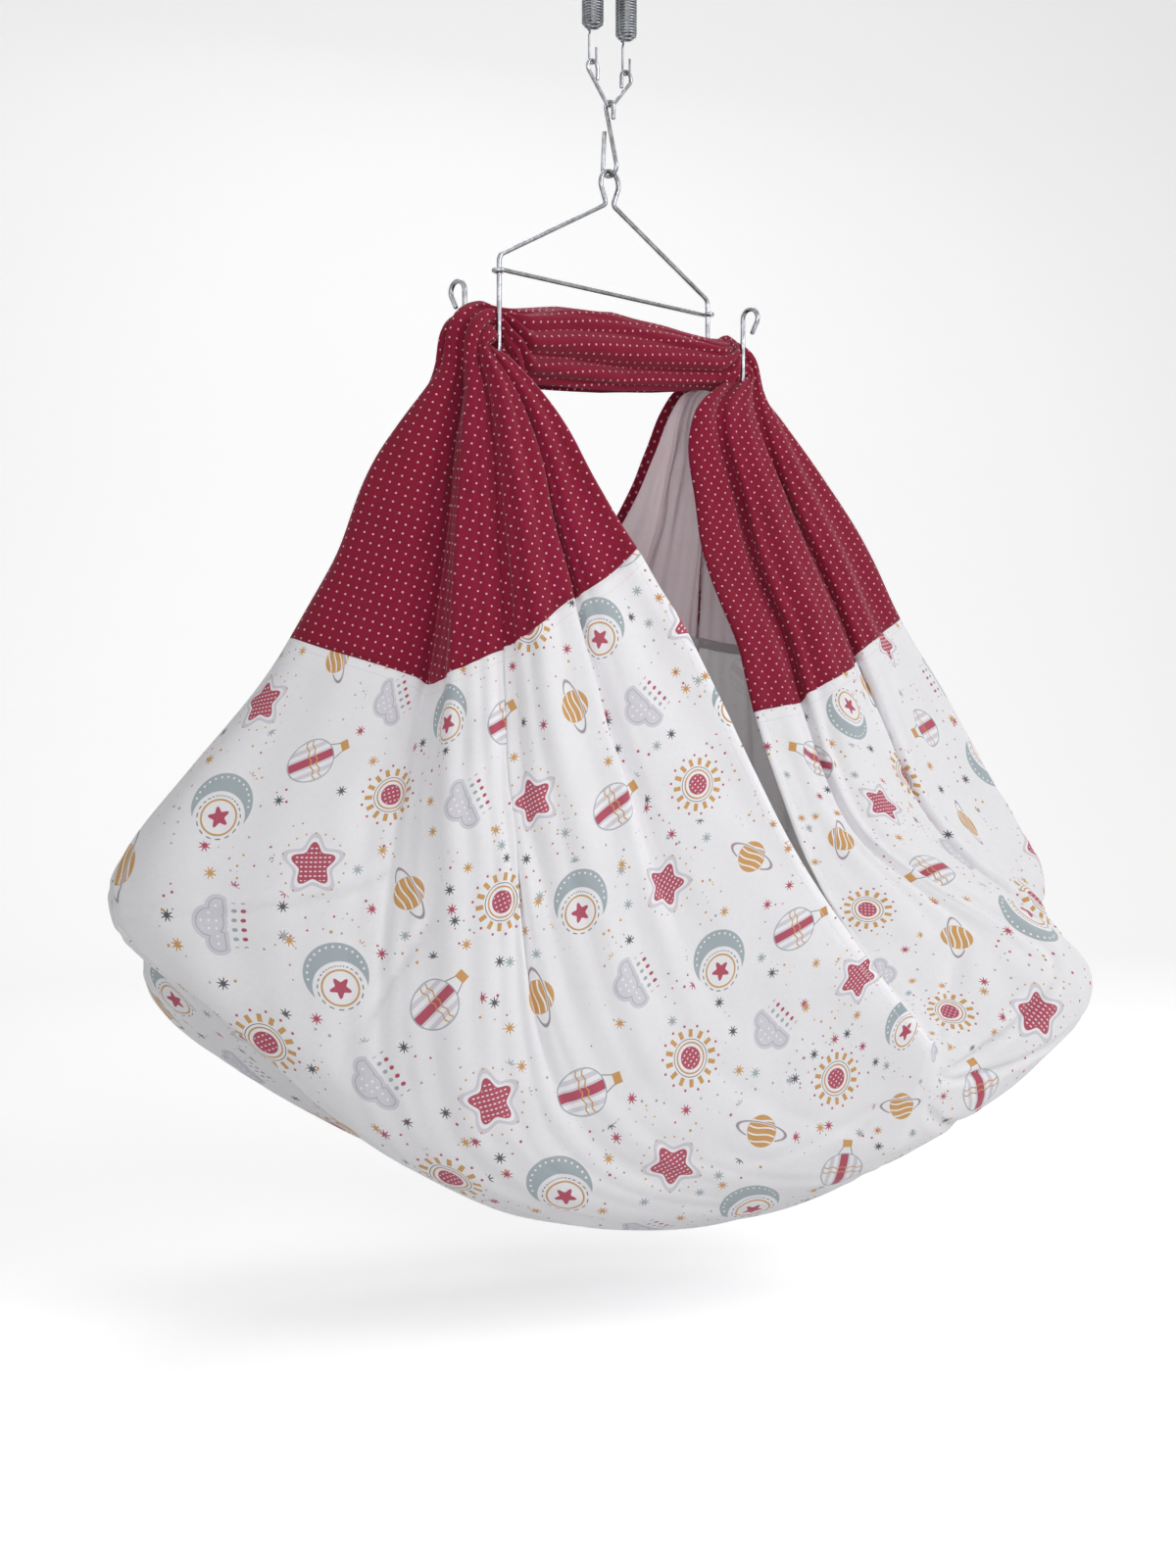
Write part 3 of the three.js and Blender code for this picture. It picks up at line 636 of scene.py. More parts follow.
# %% Guides of the cloth
SLING_HALF_LENGTH, SLING_HALF_WIDTH, SLING_DROP = 490, 208, 843
BUNDLE_HALF_WIDTH, SPAN_HALF_WIDTH, SPAN_SAG = 12, 27, 6
WRAP_OUT, WRAP_ACROSS = HANGER_WIRE, HOOK_DEPTH / 2 + HANGER_WIRE - 1.5 * BEARING_GAP
HOOK_FOLD, SPAN_FOLD, WRAP_FOLD = 19, 42, 10
CLOTH_SOLID = 1.2
SPAN_V = 1.25
ROW_VS = np.array([-SPAN_V, -1, -0.95, -0.9, -0.75, -0.55, -0.3, 0])
WRAP_OUT_SHARES = (1, 3.3, 5.1, 5.8, 3.8, 1)
WRAP_ACROSS_SHARES = (-1, -0.7, -0.14, 0.54, 0.92, 1)
WRAP_DROP_SHARES = (-3.2, -1.6, 0.2, 1.4, 0.4, -0.6)
BELOW_HOOK_SHARES = (
    (-0.18, -0.54, 0.034),
    (-0.26, -0.55, 0.042),
    (-0.33, -0.51, 0.049),
    (-0.44, -0.39, 0.075),
    (-0.34, -0.19, 0.09),
    (-0.19, -0.09, 0.09),
)
SEAM_SHARES = (
    (-0.07, -0.66, 0.152),
    (-0.22, -0.75, 0.25),
    (-0.38, -0.69, 0.292),
    (-0.63, -0.44, 0.268),
    (-0.45, 0.1, 0.32),
    (-0.24, 0.31, 0.34),
)
SHOULDER_SHARES = (
    (0.09, -0.81, 0.316),
    (-0.18, -0.92, 0.493),
    (-0.45, -0.89, 0.541),
    (-1, -0.46, 0.56),
    (-0.59, 0.37, 0.541),
    (-0.31, 0.6, 0.523),
)
TURN_SHARES = (
    (0.29, -0.94, 0.556),
    (-0.02, -0.99, 0.814),
    (-0.44, -0.85, 0.865),
    (-0.8, -0.42, 0.745),
    (-0.945, 0.6, 0.725),
    (-0.39, 0.79, 0.642),
)
BOTTOM_SHARES = ((0.55, -0.99, 0.767), (0.48, -0.79, 0.915), (0.19, -0.33, 0.995))
BUNDLE_Z = HOOK_BOTTOM_Z + HANGER_WIRE / 2 + CLOTH_SOLID + HOOK_FOLD / math.cos(math.pi / 4)

along_bar = np.array([math.cos(YAW), math.sin(YAW), 0])
across_bar = np.array([-math.sin(YAW), math.cos(YAW), 0])


def at_bar(along, across, z):
    return along * along_bar + across * across_bar + np.array([0, 0, z])


def placed(shares):
    x, y, drop = shares
    return np.array([x * SLING_HALF_LENGTH, y * SLING_HALF_WIDTH, HOOK_BOTTOM_Z - drop * SLING_DROP])


def guide_rows():
    us, middle = (-1, -0.6, -0.2, 0.2, 0.6, 1), HOOK_DEPTH / 2
    rows = [[at_bar(0, u * SPAN_HALF_WIDTH, BUNDLE_Z - SPAN_SAG) for u in us]]
    rows.append([at_bar(-HANGER_HALF_SPAN, middle + u * BUNDLE_HALF_WIDTH, BUNDLE_Z) for u in us])
    wraps = zip(WRAP_OUT_SHARES, WRAP_ACROSS_SHARES, WRAP_DROP_SHARES)
    rows.append(
        [
            at_bar(-HANGER_HALF_SPAN - o * WRAP_OUT, middle + a * WRAP_ACROSS, HOOK_BOTTOM_Z - d * HANGER_WIRE)
            for o, a, d in wraps
        ]
    )
    for shares in (BELOW_HOOK_SHARES, SEAM_SHARES, SHOULDER_SHARES, TURN_SHARES):
        rows.append([placed(s) for s in shares])
    bottom = [placed(s) for s in BOTTOM_SHARES]
    rows.append(bottom + flipped(bottom, HALF_TURNED))
    right = [flipped(row, HALF_TURNED) for row in rows[-2::-1]]
    return np.array(rows + right), np.concatenate([ROW_VS, -ROW_VS[-2::-1]])


GUIDES, KNOTS = guide_rows()
print("guide rows and points:", GUIDES.shape[:2])


# %% The mean surface
def hermite(a, b, slope_a, slope_b, width, t):
    t2, t3 = t * t, t * t * t
    parts = (2 * t3 - 3 * t2 + 1) * a + (t3 - 2 * t2 + t) * width * slope_a
    return parts + (3 * t2 - 2 * t3) * b + (t3 - t2) * width * slope_b


def along_guides(v):
    """The six guides' places at each v: an array of v's length by six by three."""
    count = len(KNOTS) - 1
    widths = np.diff(KNOTS)
    before = np.roll(GUIDES[:-1], 1, axis=0)
    after = np.roll(GUIDES[:-1], -1, axis=0)
    width_before = np.roll(widths, 1)[:, None, None]
    width_after = widths[:, None, None]
    total = width_before + width_after
    here = GUIDES[:-1]
    ahead, behind = (after - here) * width_before, (here - before) * width_after
    slopes = ahead / (width_after * total) + behind / (width_before * total)
    i = np.clip(np.searchsorted(KNOTS, v, side="left") - 1, 0, count - 1)
    j = (i + 1) % count
    width = widths[i][:, None, None]
    t = ((v - KNOTS[i]) / widths[i])[:, None, None]
    return hermite(GUIDES[i], GUIDES[j], slopes[i], slopes[j], width, t)


def mean_surface(u, v):
    """Places for every v (rows) at every u. u is one row or a grid with a row for each v."""
    guides = along_guides(np.asarray(v, float))
    first, last = 2 * guides[:, :1] - guides[:, 1:2], 2 * guides[:, -1:] - guides[:, -2:-1]
    padded = np.concatenate([first, guides, last], axis=1)
    slopes = (padded[:, 2:] - padded[:, :-2]) / 2
    u = np.broadcast_to(u, (len(guides), np.shape(u)[-1]))
    spans = GUIDES.shape[1] - 1
    place = np.clip((u + 1) / 2 * spans, 0, spans)
    i = np.minimum(np.floor(place).astype(int), spans - 1)
    t = (place - i)[:, :, None]
    rows = np.arange(len(guides))[:, None]
    return hermite(guides[rows, i], guides[rows, i + 1], slopes[rows, i], slopes[rows, i + 1], 1, t)


sample = mean_surface(np.linspace(-1, 1, 5), np.linspace(-0.9, 0.9, 7))
print("mean surface spans", np.round(sample.reshape(-1, 3).min(0)), "to", np.round(sample.reshape(-1, 3).max(0)))

# %% [markdown]
# ## Folds
#
# A band of cotton almost a metre wide goes through hooks five centimetres deep, so it must fold. Six large
# folds run up both ends. They are laid first, along the mean surface's outward direction, with round crests
# and sharp valleys, because cloth pushed together bends where it is free and pinches where it is held. They
# lean over a little, as hanging folds do. Finer pleats follow, along the direction of the surface that the
# large folds made. Last comes a slight crumple. Every wave fits a whole number of times round the band, so
# the folds meet across both seams.

# %% Heights of the folds along the band
LEFT_SEAM_V, RIGHT_SEAM_V = -0.73, 0.695
MAIN_FOLDS, FOLD_WANDER, LEAN = 6, 0.035, 0.8
VALLEY_ROUNDING, WAVE_MIDDLE = 0.02, 1.02
LOOP = 2 * SPAN_V
FOLD_VS = np.array([0, 0.3, 0.45, 0.6, 0.72, 0.85, 0.95, 1, SPAN_V])
FOLD_HEIGHTS = np.array([1.5, 3, 6.5, 13, 15.5, 14, WRAP_FOLD, HOOK_FOLD, SPAN_FOLD])
PLEAT_VS = np.array([0, 0.22, 0.4, 0.55, 0.8, 0.93, 1, 1.05, SPAN_V])
PLEAT_HEIGHTS = np.array([0.5, 4.2, 10, 12.5, 8.2, 2.8, 2.2, 4, 5])
PLEAT_TWIST, CRUMPLE_WAVES = 2.5, 22
seeds = np.random.default_rng(11)


def eased(t):
    t = np.clip(t, 0, 1)
    return t * t * (3 - 2 * t)


def risen(value, start, run):
    """0 up to start, 1 from start + run on, and smooth between them."""
    return eased((value - start) / run)


def stepped(v, places, heights):
    """A height for each v, eased from place to place."""
    depth = np.clip(np.abs(v), places[0], places[-1])
    i = np.clip(np.searchsorted(places, depth, side="left") - 1, 0, len(places) - 2)
    return heights[i] + (heights[i + 1] - heights[i]) * risen(depth, places[i], places[i + 1] - places[i])


def crest(phase):
    """A wave from about -0.75 to 1, round at its crests and sharp in its valleys."""
    return 2 * np.sqrt(np.cos(phase / 2) ** 2 + VALLEY_ROUNDING) - WAVE_MIDDLE


print("fold heights:", FOLD_HEIGHTS, "mm, pleats:", PLEAT_HEIGHTS, "mm")

# %% Pleats and crumples
PLEATS = [
    # waves from hem to hem, share, start, and how far they wander along the band
    (count, share, *seeds.uniform(0, 2 * math.pi, 2), seeds.uniform(0.3, 0.9))
    for count, share in ((11, 0.34), (17, 0.42), (25, 0.3), (37, 0.12))
]


def pleats(s, v):
    around = (2 * math.pi * v / LOOP)[:, None]
    twist, height = PLEAT_TWIST * np.sin(around), 0
    for count, share, start, turn, wander in PLEATS:
        drift = wander * np.sin(around + turn) + 0.4 * wander * np.sin(2 * around + start) + twist
        strength = 0.65 + 0.35 * np.sin(3.1 * s + start + around)
        height = height + share * strength * crest(count * math.pi * s + start + drift)
    return height


CRUMPLES = [
    # waves across and round the band, start
    (seeds.uniform(4, 26) * math.pi, int(seeds.integers(-30, 30)), seeds.uniform(0, 2 * math.pi))
    for _ in range(CRUMPLE_WAVES)
]


def crumple(s, v):
    around = (2 * math.pi * v / LOOP)[:, None]
    return sum(np.sin(a * s + k * around + start) for a, k, start in CRUMPLES) / math.sqrt(len(CRUMPLES))


print(len(PLEATS), "widths of pleats and", len(CRUMPLES), "waves of crumple")

# %% [markdown]
# ## Creases from the corners
#
# The mattress's corners and the place where both front hems meet carry most of the load there, and creases
# run out from them like rays. Each is a shallow valley between two soft ridges, told by its two ends on the
# cloth. The sling's back has the same creases after half a turn.

# %% Creases, listed
CREASES = (
    # s and v at both ends, depth and half width in millimetres
    ((-0.90, 0.05), (-0.55, 0.30), 4.5, 8),
    ((-0.88, 0.07), (-0.66, 0.42), 5.0, 8),
    ((-0.92, 0.10), (-0.84, 0.40), 3.5, 7),
    ((-0.84, 0.02), (-0.42, 0.16), 3.5, 9),
    ((-0.86, -0.04), (-0.55, -0.20), 2.5, 9),
    ((-0.62, 0.36), (-0.10, 0.47), 3.0, 9),
    ((-0.28, -0.50), (-0.05, -0.36), 2.5, 8),
    ((-0.20, -0.54), (0.16, -0.47), 3.0, 8),
    ((0.02, -0.50), (0.36, -0.52), 2.5, 7),
    ((0.30, -0.50), (0.60, -0.40), 2.0, 8),
)
METRES_ACROSS, METRES_AROUND = 0.47, 0.80
CREASE_OPENING, CREASE_FADING, CREASE_RIDGES = 0.12, 0.6, 1.1


def creases(s, v):
    across, around = s[None, :] * METRES_ACROSS, v[:, None] * METRES_AROUND
    height = np.zeros((len(v), len(s)))
    for (s0, v0), (s1, v1), depth, width in CREASES:
        for side in (1, -1):
            a = side * np.array([s0 * METRES_ACROSS, v0 * METRES_AROUND])
            b = side * np.array([s1 * METRES_ACROSS, v1 * METRES_AROUND])
            length = np.linalg.norm(b - a)
            run = (b - a) / length
            along = ((across - a[0]) * run[0] + (around - a[1]) * run[1]) / length
            off = ((across - a[0]) * run[1] - (around - a[1]) * run[0]) / (width * MM)
            ends = eased(along / CREASE_OPENING) * eased((1 - along) / CREASE_FADING)
            height -= depth * ends * (1 - CREASE_RIDGES * off**2) * np.exp(-(off**2))
    return height


print(2 * len(CREASES), "creases")


# %% Directions out of the cloth
def normals_of(grid):
    across, along = np.gradient(grid, axis=1), np.gradient(grid, axis=0)
    normals = np.cross(across, along)
    return normals / np.maximum(np.linalg.norm(normals, axis=2), 1e-12)[:, :, None]


def calmed(normals, reach=3):
    """Normals averaged with their neighbours, which makes them short where the cloth turns sharply."""
    rows, columns = normals.shape[:2]
    padded = np.pad(normals, ((reach, reach), (reach, reach), (0, 0)), mode="edge")
    steps = range(2 * reach + 1)
    return sum(padded[i : i + rows, j : j + columns] for i in steps for j in steps) / len(steps) ** 2


def smoothed(line, width):
    window = np.hanning(2 * width + 1)
    return np.convolve(np.pad(line, width, mode="reflect"), window / window.sum(), "valid")


print("a step smoothed by 1:", smoothed(np.array([0, 0, 1, 1]), 1))

# %% [markdown]
# ## Over the hooks
#
# Over the hooks and between them the whole width is one roll: a flattened tube with both hems tucked up
# inside, which is how the reverse stays hidden there. Half of its outline is drawn once as a list of points,
# and a table says how wide, high and low the roll is from hook to hook. Its own long folds are told by where
# they lie at each place along the span.

# %% The roll's outline and sizes
# Half of the roll's outline, from its top round one side and up again inside: place on the cloth, across, up
ROLL_OUTLINE = np.array(
    [
        (0, 0, 1),
        (0.07, 0.55, 0.93),
        (0.14, 0.92, 0.62),
        (0.22, 1, 0.05),
        (0.32, 0.9, -0.66),
        (0.38, 0.55, -0.98),
        (0.45, 0.36, -0.75),
        (0.62, 0.42, 0.5),
        (0.68, 0.28, 0.56),
        (0.84, 0.16, -0.5),
        (0.9, 0.08, -0.56),
        (1, 0.06, 0.1),
    ]
)
# Along the span from the left hook to the right one: place, half width, half height, middle below the hook's wire
ROLL_SIZES = np.array(
    [
        (-1.3, 30, 15, -24),
        (-1, 20, 24, -28),
        (-0.9, 33, 31, -20),
        (-0.78, 34, 37, -17),
        (-0.45, 29, 41, -22),
        (0, 25, 40, -24),
        (0.45, 27, 33, -24),
        (0.8, 32, 25, -24),
        (0.92, 31, 23, -25),
        (1, 20, 24, -28),
        (1.3, 24, 13, -22),
    ]
)
ROLL_STEPS, ROLL_SMOOTHING = 200, 9
ROLL_SHARES = np.linspace(0, 1, ROLL_STEPS + 1)
ROLL_X = np.interp(ROLL_SHARES, ROLL_OUTLINE[:, 0], ROLL_OUTLINE[:, 1])
ROLL_X = smoothed(np.concatenate([-ROLL_X[:0:-1], ROLL_X]), ROLL_SMOOTHING)[ROLL_STEPS:]
ROLL_Y = smoothed(np.interp(ROLL_SHARES, ROLL_OUTLINE[:, 0], ROLL_OUTLINE[:, 2]), ROLL_SMOOTHING)
print("the roll is", ROLL_SIZES[:, 1].min() * 2, "to", ROLL_SIZES[:, 1].max() * 2, "mm wide")


# %% Roll the cloth up
# Where the hems tuck in and where the roll turns over the hooks: start along the band, and length
TUCK, TURN = (0.985, 0.085), (0.93, 0.075)
OUTER_SHARE, TUCKED_SHARE = 0.37, 0.63
BELOW_TURN, TURN_FALL = 0.95, 800
WIRE_ROOM, ROOM_START, ROOM_SLOPE = 1.4, 4, 0.9


def rolled(s, v):
    """The gathered bundle: over the hooks and between them it is one roll with both hems tucked up inside."""
    side = np.where(v > 0, 1.0, -1.0)[:, None]
    depth = np.abs(v)[:, None]
    place = side * (SPAN_V - depth) / (SPAN_V - 1)
    width, height, drop = (np.interp(place, ROLL_SIZES[:, 0], column) for column in ROLL_SIZES[:, 1:].T)
    share = (OUTER_SHARE + TUCKED_SHARE * risen(depth, *TUCK)) * np.abs(s)
    x = -side * np.sign(s) * np.interp(share, ROLL_SHARES, ROLL_X)
    y = np.interp(share, ROLL_SHARES, ROLL_Y)
    turn = math.pi / 2 * (1 - risen(depth, *TURN))
    reach = -drop + height * y
    out, up = reach * np.sin(turn), reach * np.cos(turn)
    inward = risen(depth, 1, SPAN_V - 1) * 0.3 + 0.7 * np.clip((depth - 1) / (SPAN_V - 1), 0, 1)
    along = -HANGER_HALF_SPAN * (1 - inward) - out
    across = HOOK_DEPTH / 2 * (1 - inward) + width * x
    z = HOOK_BOTTOM_Z + up + np.minimum(depth - BELOW_TURN, 0) * TURN_FALL
    beside_hook = np.maximum(np.abs(along + HANGER_HALF_SPAN) - ROOM_START, 0)
    room = HOOK_DEPTH / 2 - HANGER_WIRE / 2 - WIRE_ROOM + ROOM_SLOPE * beside_hook
    middle = HOOK_DEPTH / 2 * (1 - inward)
    across = middle + np.clip(across - middle, -room, room)
    flat = along[:, :, None] * along_bar + across[:, :, None] * across_bar
    return -side[:, :, None] * flat + z[:, :, None] * np.array([0, 0, 1])


print("half way to its hem the cloth lies at", np.round([ROLL_X[ROLL_STEPS // 2], ROLL_Y[ROLL_STEPS // 2]], 2))

# %% Long folds of the span
# Long folds of the span, from the left hook (0) to the right one (1). Each has its places along the span, where
# it lies on the cloth from the roll's top (0) to its underside (0.38), and how deep it is there in millimetres
SPAN_FOLDS = (
    ((0, 0.08, 0.3, 0.5), (0.11, 0.09, 0.06, 0.03), (6, 5, 3, 0)),
    ((0, 0.08, 0.3, 0.54, 0.86, 1), (0.18, 0.175, 0.165, 0.16, 0.18, 0.19), (7, 8, 7, 4, 5, 6)),
    ((0, 0.08, 0.3, 0.54, 0.86, 1), (0.25, 0.255, 0.27, 0.287, 0.28, 0.27), (7, 9, 9, 9, 8, 6)),
    ((0, 0.1, 0.5, 0.9, 1), (0.33, 0.35, 0.355, 0.35, 0.34), (1, 4, 5, 4, 1)),
    ((0.4, 0.6, 0.86, 1), (0.08, 0.09, 0.11, 0.12), (0, 3, 5, 5)),
)
ON_SPAN, VALLEY_WIDTH = (0.985, 0.04), 0.017
RIDGE_SHARE, RIDGE_BELOW, RIDGE_WIDTH = 0.4, 0.045, 0.026


def span_folds(s, v):
    """The sharp valleys of the span's long folds, with a soft ridge below each. The back has them the other way."""
    way = np.where(v < 0, -v - 1, LOOP - 1 - v) / (LOOP - 2)
    height = np.zeros((len(v), len(s)))
    for ends, lines, depths in SPAN_FOLDS:
        for front, along in ((-1, way), (1, 1 - way)):
            off = front * s[None, :] - np.interp(along, ends, lines)[:, None]
            depth = np.interp(along, ends, depths, left=0, right=0) * risen(np.abs(v), *ON_SPAN)
            ridge = RIDGE_SHARE * np.exp(-(((off - RIDGE_BELOW) / RIDGE_WIDTH) ** 2))
            height += depth[:, None] * (ridge - np.exp(-np.abs(off) / VALLEY_WIDTH))
    return height


print(len(SPAN_FOLDS), "long folds on each side of the span")

# %% [markdown]
# ## The walls of the two ends
#
# Each end is a pocket with an outer wall. Nothing props that wall from inside, so it hangs a little hollow,
# and how much is told at places all along the band. Beside the hooks the hems hang in front of the gathered
# cloth like flaps, and reach inwards by different lengths at each of the four corners.

# %% Hollow walls and flaps
# The ends' outer walls hang a little hollow: place along the band, millimetres inwards
HOLLOWS = np.array(
    [
        (-0.95, 2),
        (-0.8, 22),
        (-0.65, 55),
        (-0.53, 12),
        (-0.44, 12),
        (-0.32, 15),
        (-0.2, 6),
        (-0.05, 0),
        (0, 4),
        (0.1, 22),
        (0.2, 20),
        (0.3, 2),
        (0.45, 0),
        (0.58, 33),
        (0.67, 10),
        (0.79, -10),
        (0.95, 0),
    ]
)
# How far the hems reach inwards beside the hooks: by arm and hem, at each place along the band
FLAP_PLACES = (0.7, 0.8, 0.87, 0.9, 0.93, 0.955, 0.985, SPAN_V)
FLAPS = {
    (1, -1): (-6, -11, -26, 5, 61, 66, 0, 0),
    (1, 1): (0, 0, 8, 22, 36, 34, 0, 0),
    (-1, 1): (0, 0, 8, 30, 52, 48, 0, 0),
    (-1, -1): (0, 0, 0, -3, -6, -4, 0, 0),
}
HOLLOW_VS, FLAP_TABLE = np.linspace(-SPAN_V, SPAN_V, 501), np.linspace(0, SPAN_V, 251)
HOLLOW_DEPTHS = smoothed(np.interp(HOLLOW_VS, *HOLLOWS.T), 12)
HOLLOW_MIDDLE, HOLLOW_WIDTH = 0.25, 0.4
print("the walls hang up to", round(HOLLOW_DEPTHS.max()), "mm hollow")

# %% Lay the folds
# Where along the band each change starts, and how long it takes
GATHERED, LEANING, UPRIGHT, BUNDLED, NEAR_HOOK = (0.25, 0.3), (0.35, 0.3), (0.86, 0.08), (0.925, 0.055), (0.85, 0.1)
VALLEY_NARROWING, WRINKLE_HEIGHT = 0.62, 6
CRUMPLE_DEPTH, CRUMPLE_LOSS = 0.8, 0.6


def crossing(s, v):
    """Where each thread lies across the guides. Folds are broad and their valleys narrow."""
    gathered = risen(np.abs(v)[:, None], *GATHERED)
    wave = MAIN_FOLDS * math.pi
    uneven = np.sin(wave * s + 0.5 * np.sin(2.3 * s + v[:, None]))
    return s + FOLD_WANDER * np.sin(2 * math.pi * s) + VALLEY_NARROWING * gathered * uneven / wave


def folded(places, columns):
    """The cloth's middle surface in millimetres. places run on past the span's middle, where v wraps."""
    v = (places + SPAN_V) % LOOP - SPAN_V
    s = np.linspace(-1, 1, columns + 1)
    open_v, side = np.abs(v)[:, None], np.where(v > 0, 1.0, -1.0)[:, None]
    free = 1 - np.abs(s) ** 6
    uneven = 1 + 0.3 * np.sin(5.3 * s + 1.1)
    high = crest(MAIN_FOLDS * math.pi * s) * free * uneven * stepped(v, FOLD_VS, FOLD_HEIGHTS)[:, None]
    on_wall = np.exp(-(((-side * s - HOLLOW_MIDDLE) / HOLLOW_WIDTH) ** 2))
    hollow = np.interp(v, HOLLOW_VS, HOLLOW_DEPTHS)[:, None] * on_wall
    plain = mean_surface(s, v)
    grid = mean_surface(crossing(s, v), v) + normals_of(plain) * (high - hollow)[:, :, None]
    sideways = np.gradient(plain, axis=1)
    sideways /= np.linalg.norm(sideways, axis=2)[:, :, None]
    leaning = LEAN * risen(open_v, *LEANING) * (1 - risen(open_v, *UPRIGHT)) * np.maximum(high, 0)
    grid = grid - (side * leaning)[:, :, None] * sideways
    for (arm, hem), reaches in FLAPS.items():
        reach = np.interp(open_v, FLAP_TABLE, smoothed(np.interp(FLAP_TABLE, FLAP_PLACES, reaches), 6))
        grid = grid - (reach * arm * (side == arm) * eased((hem * s - 0.3) / 0.7))[:, :, None] * along_bar
    bundled = risen(open_v, *BUNDLED)[:, :, None]
    roll = rolled(s, v)
    wrinkles = high / stepped(v, FOLD_VS, FOLD_HEIGHTS)[:, None] * WRINKLE_HEIGHT * (1 - risen(open_v, *TUCK))
    grid = grid * (1 - bundled) + (roll + normals_of(roll) * wrinkles[:, :, None]) * bundled
    fine = pleats(s[None, :], v) * (1 - 0.6 * np.abs(s) ** 10) * stepped(v, PLEAT_VS, PLEAT_HEIGHTS)[:, None]
    crumple_depth = CRUMPLE_DEPTH - CRUMPLE_LOSS * risen(np.abs(v), *NEAR_HOOK)[:, None]
    fine = fine + creases(s, v) + span_folds(s, v) + crumple(s[None, :], v) * crumple_depth
    return grid + calmed(normals_of(grid)) * fine[:, :, None]


trial = folded(np.linspace(-0.7, 0.69, 40), 96)
print("folded cloth spans", np.round(trial.reshape(-1, 3).min(0)), "to", np.round(trial.reshape(-1, 3).max(0)))

# %% [markdown]
# ## From surface to cloth
#
# A print keeps its size on real cloth, because cotton bends easily and hardly stretches. So the unwrapping
# has to lay the folded surface out flat with every small triangle as nearly its own shape as can be. That
# is done in turns. First every triangle is told how far it should be turned, from where its corners lie
# now. Then all corners are placed at once so that they agree best with these turns. The second step is one
# large set of equations, but each row of the grid only meets the rows next to it, so it is solved row by
# row. A coarse grid finds the large turns, and the fine one starts from there.

# %% Lay a folded grid out flat
def corners_of(rows, columns):
    index = np.arange(rows * columns).reshape(rows, columns)
    a, b, c, d = index[:-1, :-1], index[:-1, 1:], index[1:, 1:], index[1:, :-1]
    return np.concatenate([np.stack([a, b, c], 2).reshape(-1, 3), np.stack([a, c, d], 2).reshape(-1, 3)])


def flat_triangles(points, triangles):
    """Each triangle laid flat by itself, and the cotangent of each of its angles."""
    p = points[triangles]
    first, second = p[:, 1] - p[:, 0], p[:, 2] - p[:, 0]
    length = np.linalg.norm(first, axis=1)
    along = (first * second).sum(1) / length
    height = np.linalg.norm(np.cross(first, second), axis=1) / length
    zero = np.zeros_like(length)
    flat = np.stack([np.stack([zero, zero], 1), np.stack([length, zero], 1), np.stack([along, height], 1)], 1)
    height = np.maximum(height, 1e-9)
    rest = (first * first).sum(1) - (first * second).sum(1)
    third = ((p[:, 2] - p[:, 1]) * second).sum(1)
    cotangents = np.stack([along / height, rest / (length * height), third / (length * height)], 1)
    return flat, np.clip(cotangents, 0.02, 30)


class RowSolver:
    """Solves for the corners, row by row, once the weights between neighbouring corners are known."""

    def __init__(self, triangles, cotangents, rows, columns):
        self.shape = (rows, columns)
        own = np.zeros((rows, columns, columns))
        below = np.zeros((rows - 1, columns, columns))
        for k in range(3):
            i, j = triangles[:, (k + 1) % 3], triangles[:, (k + 2) % 3]
            weight = cotangents[:, k] / 2
            (ri, ci), (rj, cj) = np.divmod(i, columns), np.divmod(j, columns)
            np.add.at(own, (ri, ci, ci), weight)
            np.add.at(own, (rj, cj, cj), weight)
            same, up, down = ri == rj, rj == ri + 1, ri == rj + 1
            np.add.at(own, (ri[same], ci[same], cj[same]), -weight[same])
            np.add.at(own, (ri[same], cj[same], ci[same]), -weight[same])
            np.add.at(below, (ri[up], ci[up], cj[up]), -weight[up])
            np.add.at(below, (rj[down], cj[down], ci[down]), -weight[down])
        own[rows // 2, columns // 2, columns // 2] += 1
        self.inverses, self.below = [np.linalg.inv(own[0])], below
        for j in range(1, rows):
            self.inverses.append(np.linalg.inv(own[j] - below[j - 1].T @ self.inverses[-1] @ below[j - 1]))

    def solve(self, right):
        rows, columns = self.shape
        right = right.reshape(rows, columns, 2).copy()
        for j in range(1, rows):
            right[j] -= self.below[j - 1].T @ (self.inverses[j - 1] @ right[j - 1])
        out = np.zeros_like(right)
        out[-1] = self.inverses[-1] @ right[-1]
        for j in range(rows - 2, -1, -1):
            out[j] = self.inverses[j] @ (right[j] - self.below[j] @ out[j + 1])
        return out.reshape(-1, 2)


def laid_flat(grid, start, rounds):
    rows, columns = grid.shape[:2]
    triangles = corners_of(rows, columns)
    flat, cotangents = flat_triangles(grid.reshape(-1, 3), triangles)
    solver = RowSolver(triangles, cotangents, rows, columns)
    ends = [((k + 1) % 3, (k + 2) % 3, cotangents[:, k]) for k in range(3)]
    edges = [(triangles[:, a], triangles[:, b], flat[:, a] - flat[:, b], weight) for a, b, weight in ends]
    place = start.reshape(-1, 2)
    for _ in range(rounds):
        turn_x, turn_y = np.zeros(len(triangles)), np.zeros(len(triangles))
        for i, j, own, weight in edges:
            now = place[i] - place[j]
            turn_x += weight * (now * own).sum(1)
            turn_y += weight * (now[:, 1] * own[:, 0] - now[:, 0] * own[:, 1])
        size = np.maximum(np.hypot(turn_x, turn_y), 1e-15)
        cosine, sine = (turn_x / size)[:, None], (turn_y / size)[:, None]
        right = np.zeros_like(place)
        for i, j, own, weight in edges:
            square = np.stack([-own[:, 1], own[:, 0]], 1)
            pull = weight[:, None] / 2 * (own * cosine + square * sine)
            np.add.at(right, i, pull)
            np.add.at(right, j, -pull)
        place = solver.solve(right)
    return place.reshape(rows, columns, 2)


